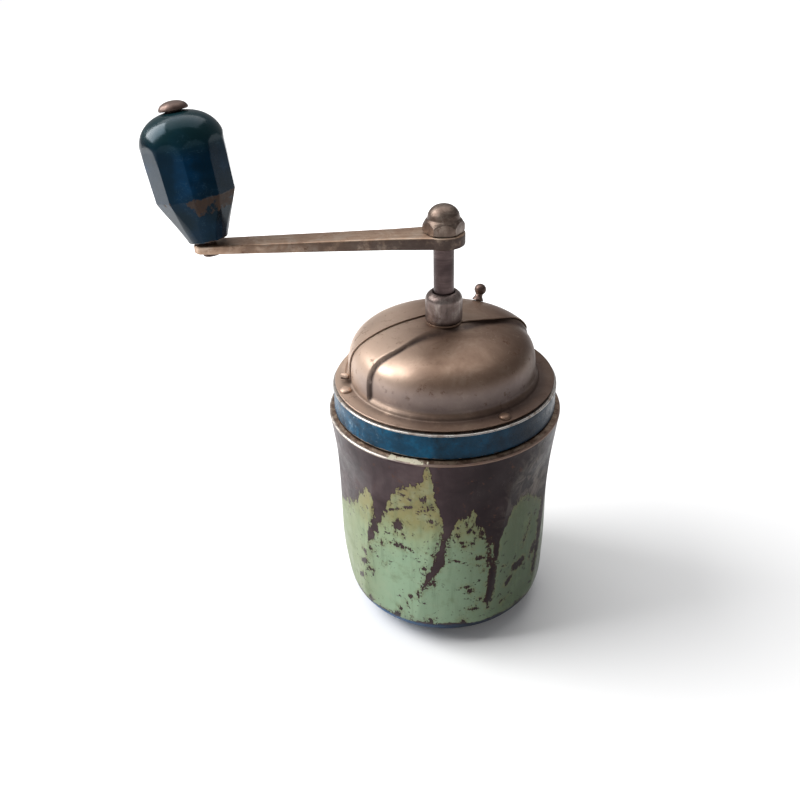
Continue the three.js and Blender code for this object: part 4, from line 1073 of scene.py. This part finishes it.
def crank_knob():
    pitch = TURN / FACETS
    foot, belt, crown, belt_z, crown_z = 7.7, 15.1, 15.4, 16.8, 35.0
    rows = [(2.6, 0.3), (2.9, 0), (foot - 0.4, 0), (foot, 0.4)]
    rows += curve([(foot + 0.05, 0.8), (10.3, 6.6), (12.9, 12), (belt, belt_z - 0.4)], 0.6)
    rows += curve([(belt + 0.1, belt_z + 0.5), (15.3, 23), (15.45, 29.5), (crown, 33.5)], 0.6)
    rows += [(crown * math.cos(t) ** 0.85, crown_z + (KNOB_HEIGHT - crown_z) * math.sin(t))
             for t in np.radians(np.arange(3, 77, 2.5))]
    rows += [(3.6, KNOB_HEIGHT - 0.12), (2.9, KNOB_HEIGHT - 0.05), (2.6, KNOB_HEIGHT - 0.3)]

    def facets(phi, radius, z):
        corner = np.interp(z, [0, belt_z, crown_z, KNOB_HEIGHT],
                           [foot + 0.05, belt + 0.05, crown + 0.2, crown + 1.7])
        flat = rounded_polygon(phi, corner * math.cos(pitch / 2), FACETS, 700)
        return np.where(radius > 4, np.minimum(radius, flat), radius)

    part = spin(closed_outline(rows, 0.7), 240, lambda grid: limit_radius(grid, facets))
    piece = mesh_piece("faceted_knob", part, "knob", ["crank_knob"], KNOB_LACQUER, crease=14)
    points = place_of(piece)[0]
    phi, radius, z = np.arctan2(points[:, 1], points[:, 0]), np.hypot(*points[:, :2].T), points[:, 2]
    off_ridge = np.abs((phi / pitch) - np.floor(phi / pitch) - 0.5) * pitch * radius
    ridge = np.exp(-(off_ridge / 0.5) ** 2) * (z > 1) * (z < crown_z + 1.5)
    belt_wear = np.exp(-((z - belt_z + 0.4) / 1.3) ** 2)
    ends = np.exp(-(z / 1.2) ** 2) + np.exp(-((z - KNOB_HEIGHT) / 0.5) ** 2)
    toward = np.cos(phi - WORN_SIDE)
    patch = smooth(belt_z + 0.5, belt_z - 1.5, z) * smooth(belt_z - 9, belt_z - 4, z)
    patch *= smooth(0.55, 0.95, toward)
    edge = np.clip(ridge * 0.42 + belt_wear * (0.75 + 0.25 * toward) + patch * 0.95 + ends * 0.9, 0, 1.2)
    colour_points(piece, edge=np.where(radius < 3.4, 1.2, edge))
    seat = Matrix.Translation((0, 0, KNOB_SEAT * MM))
    piece.data.transform(ON_SPINDLE @ seat @ Matrix.Rotation(FACETS_TURNED, 4, "Z"))


def knob_spindle():
    seat = KNOB_SEAT + KNOB_HEIGHT + 0.3
    rows = [(0, -5.2), (1.6, -5.15), (2.9, -4.95), (3.45, -4.5), (3.45, -4.2), (3.3, -4.1), (2.3, -4.1),
            (2.3, seat), (5.1, seat)]
    rows += curve([(5.3, seat + 0.15), (5.38, seat + 0.45), (5.15, seat + 1.1), (4.4, seat + 2.0),
                   (3.0, seat + 2.7), (1.4, seat + 3.08), (0, seat + 3.14)], 0.35)
    mesh_piece("knob_rivet", spin(divide(rows, 2), 64), "crank", ["knob_spindle"], RIVET_BRASS,
               placed=ON_SPINDLE)
    washer = fillet([(2.6, 0.85, 0.1), (4.6, 0.85, 0.1), (4.6, 1.2, 0.1), (2.6, 1.2, 0.1)])
    mesh_piece("knob_seat_washer", spin(washer, 64), "crank", ["knob_washer"], STEEL,
               placed=ON_SPINDLE)


top_bushing()
main_shaft()
crank_arm()
cap_nut()
crank_knob()
knob_spindle()


# ---------------------------------------------------------------- burrs, bridge and adjuster

INNER_NODES = {"burr_ring": IRON, "inner_burr": IRON, "bearing_bridge": TIN}
for node in ("bushing_nut", "burr_pin", "lower_bush", "adjuster_lock_nut", "thrust_washer",
             "adjusting_screw"):
    INNER_NODES[node] = STEEL
for number in (1, 2, 3, 4):
    INNER_NODES[f"burr_screw_{number}"] = INNER_NODES[f"burr_nut_{number}"] = STEEL
for node, material in INNER_NODES.items():
    for slot in frame["nodes"][node].material_slots:
        slot.material = material


# ---------------------------------------------------------------- stage, light and camera

def stage_floor():
    points, faces = spin([(0, 0), (200, 0), (800, 0), (4000, 0), (4000, -5), (0, -5)])
    mesh = bpy.data.meshes.new("floor")
    mesh.from_pydata((points * MM).tolist(), [], faces)
    mesh.materials.append(floor_material())
    floor = bpy.data.objects.new("floor", mesh)
    floor.location.z = -0.0001
    bpy.context.scene.collection.objects.link(floor)


def area_light(name, place, aim, size, power):
    light = bpy.data.lights.new(name, "AREA")
    light.shape = "RECTANGLE"
    light.size, light.size_y = size
    light.energy = power
    lamp = bpy.data.objects.new(name, light)
    lamp.location = place
    lamp.rotation_euler = (Vector(aim) - Vector(place)).to_track_quat("-Z", "Y").to_euler()
    bpy.context.scene.collection.objects.link(lamp)


def world_light(strength):
    world = bpy.data.worlds.new("studio")
    world.use_nodes = True
    background = world.node_tree.nodes["Background"]
    background.inputs["Color"].default_value = (0.98, 0.98, 1.0, 1)
    background.inputs["Strength"].default_value = strength
    bpy.context.scene.world = world


def photo_camera():
    """The camera fitted to the photo's ellipses."""
    camera = bpy.data.cameras.new("camera")
    camera.lens = 38.25
    camera.sensor_width = 36
    camera.clip_start = 0.01
    eye = bpy.data.objects.new("camera", camera)
    ahead = Vector((-0.0517, 0.8623, -0.5037)).normalized()
    right = Vector((0.9987, 0.0436, -0.0278))
    right = (right - ahead * right.dot(ahead)).normalized()
    up = right.cross(ahead)
    facing = Matrix((right, up, -ahead)).transposed().to_4x4()
    eye.matrix_world = Matrix.Translation((0, -0.308, 0.2766)) @ facing
    bpy.context.scene.collection.objects.link(eye)
    bpy.context.scene.camera = eye


stage_floor()
world_light(0.27)
area_light("window", place=(-0.72, 0.02, 0.7), aim=(0, 0, 0.1), size=(0.6, 0.6), power=14)
area_light("ceiling", place=(-0.1, 0.35, 1.2), aim=(0, 0, 0), size=(1.3, 1.1), power=11)
photo_camera()
bpy.context.scene.view_settings.view_transform = "Standard"
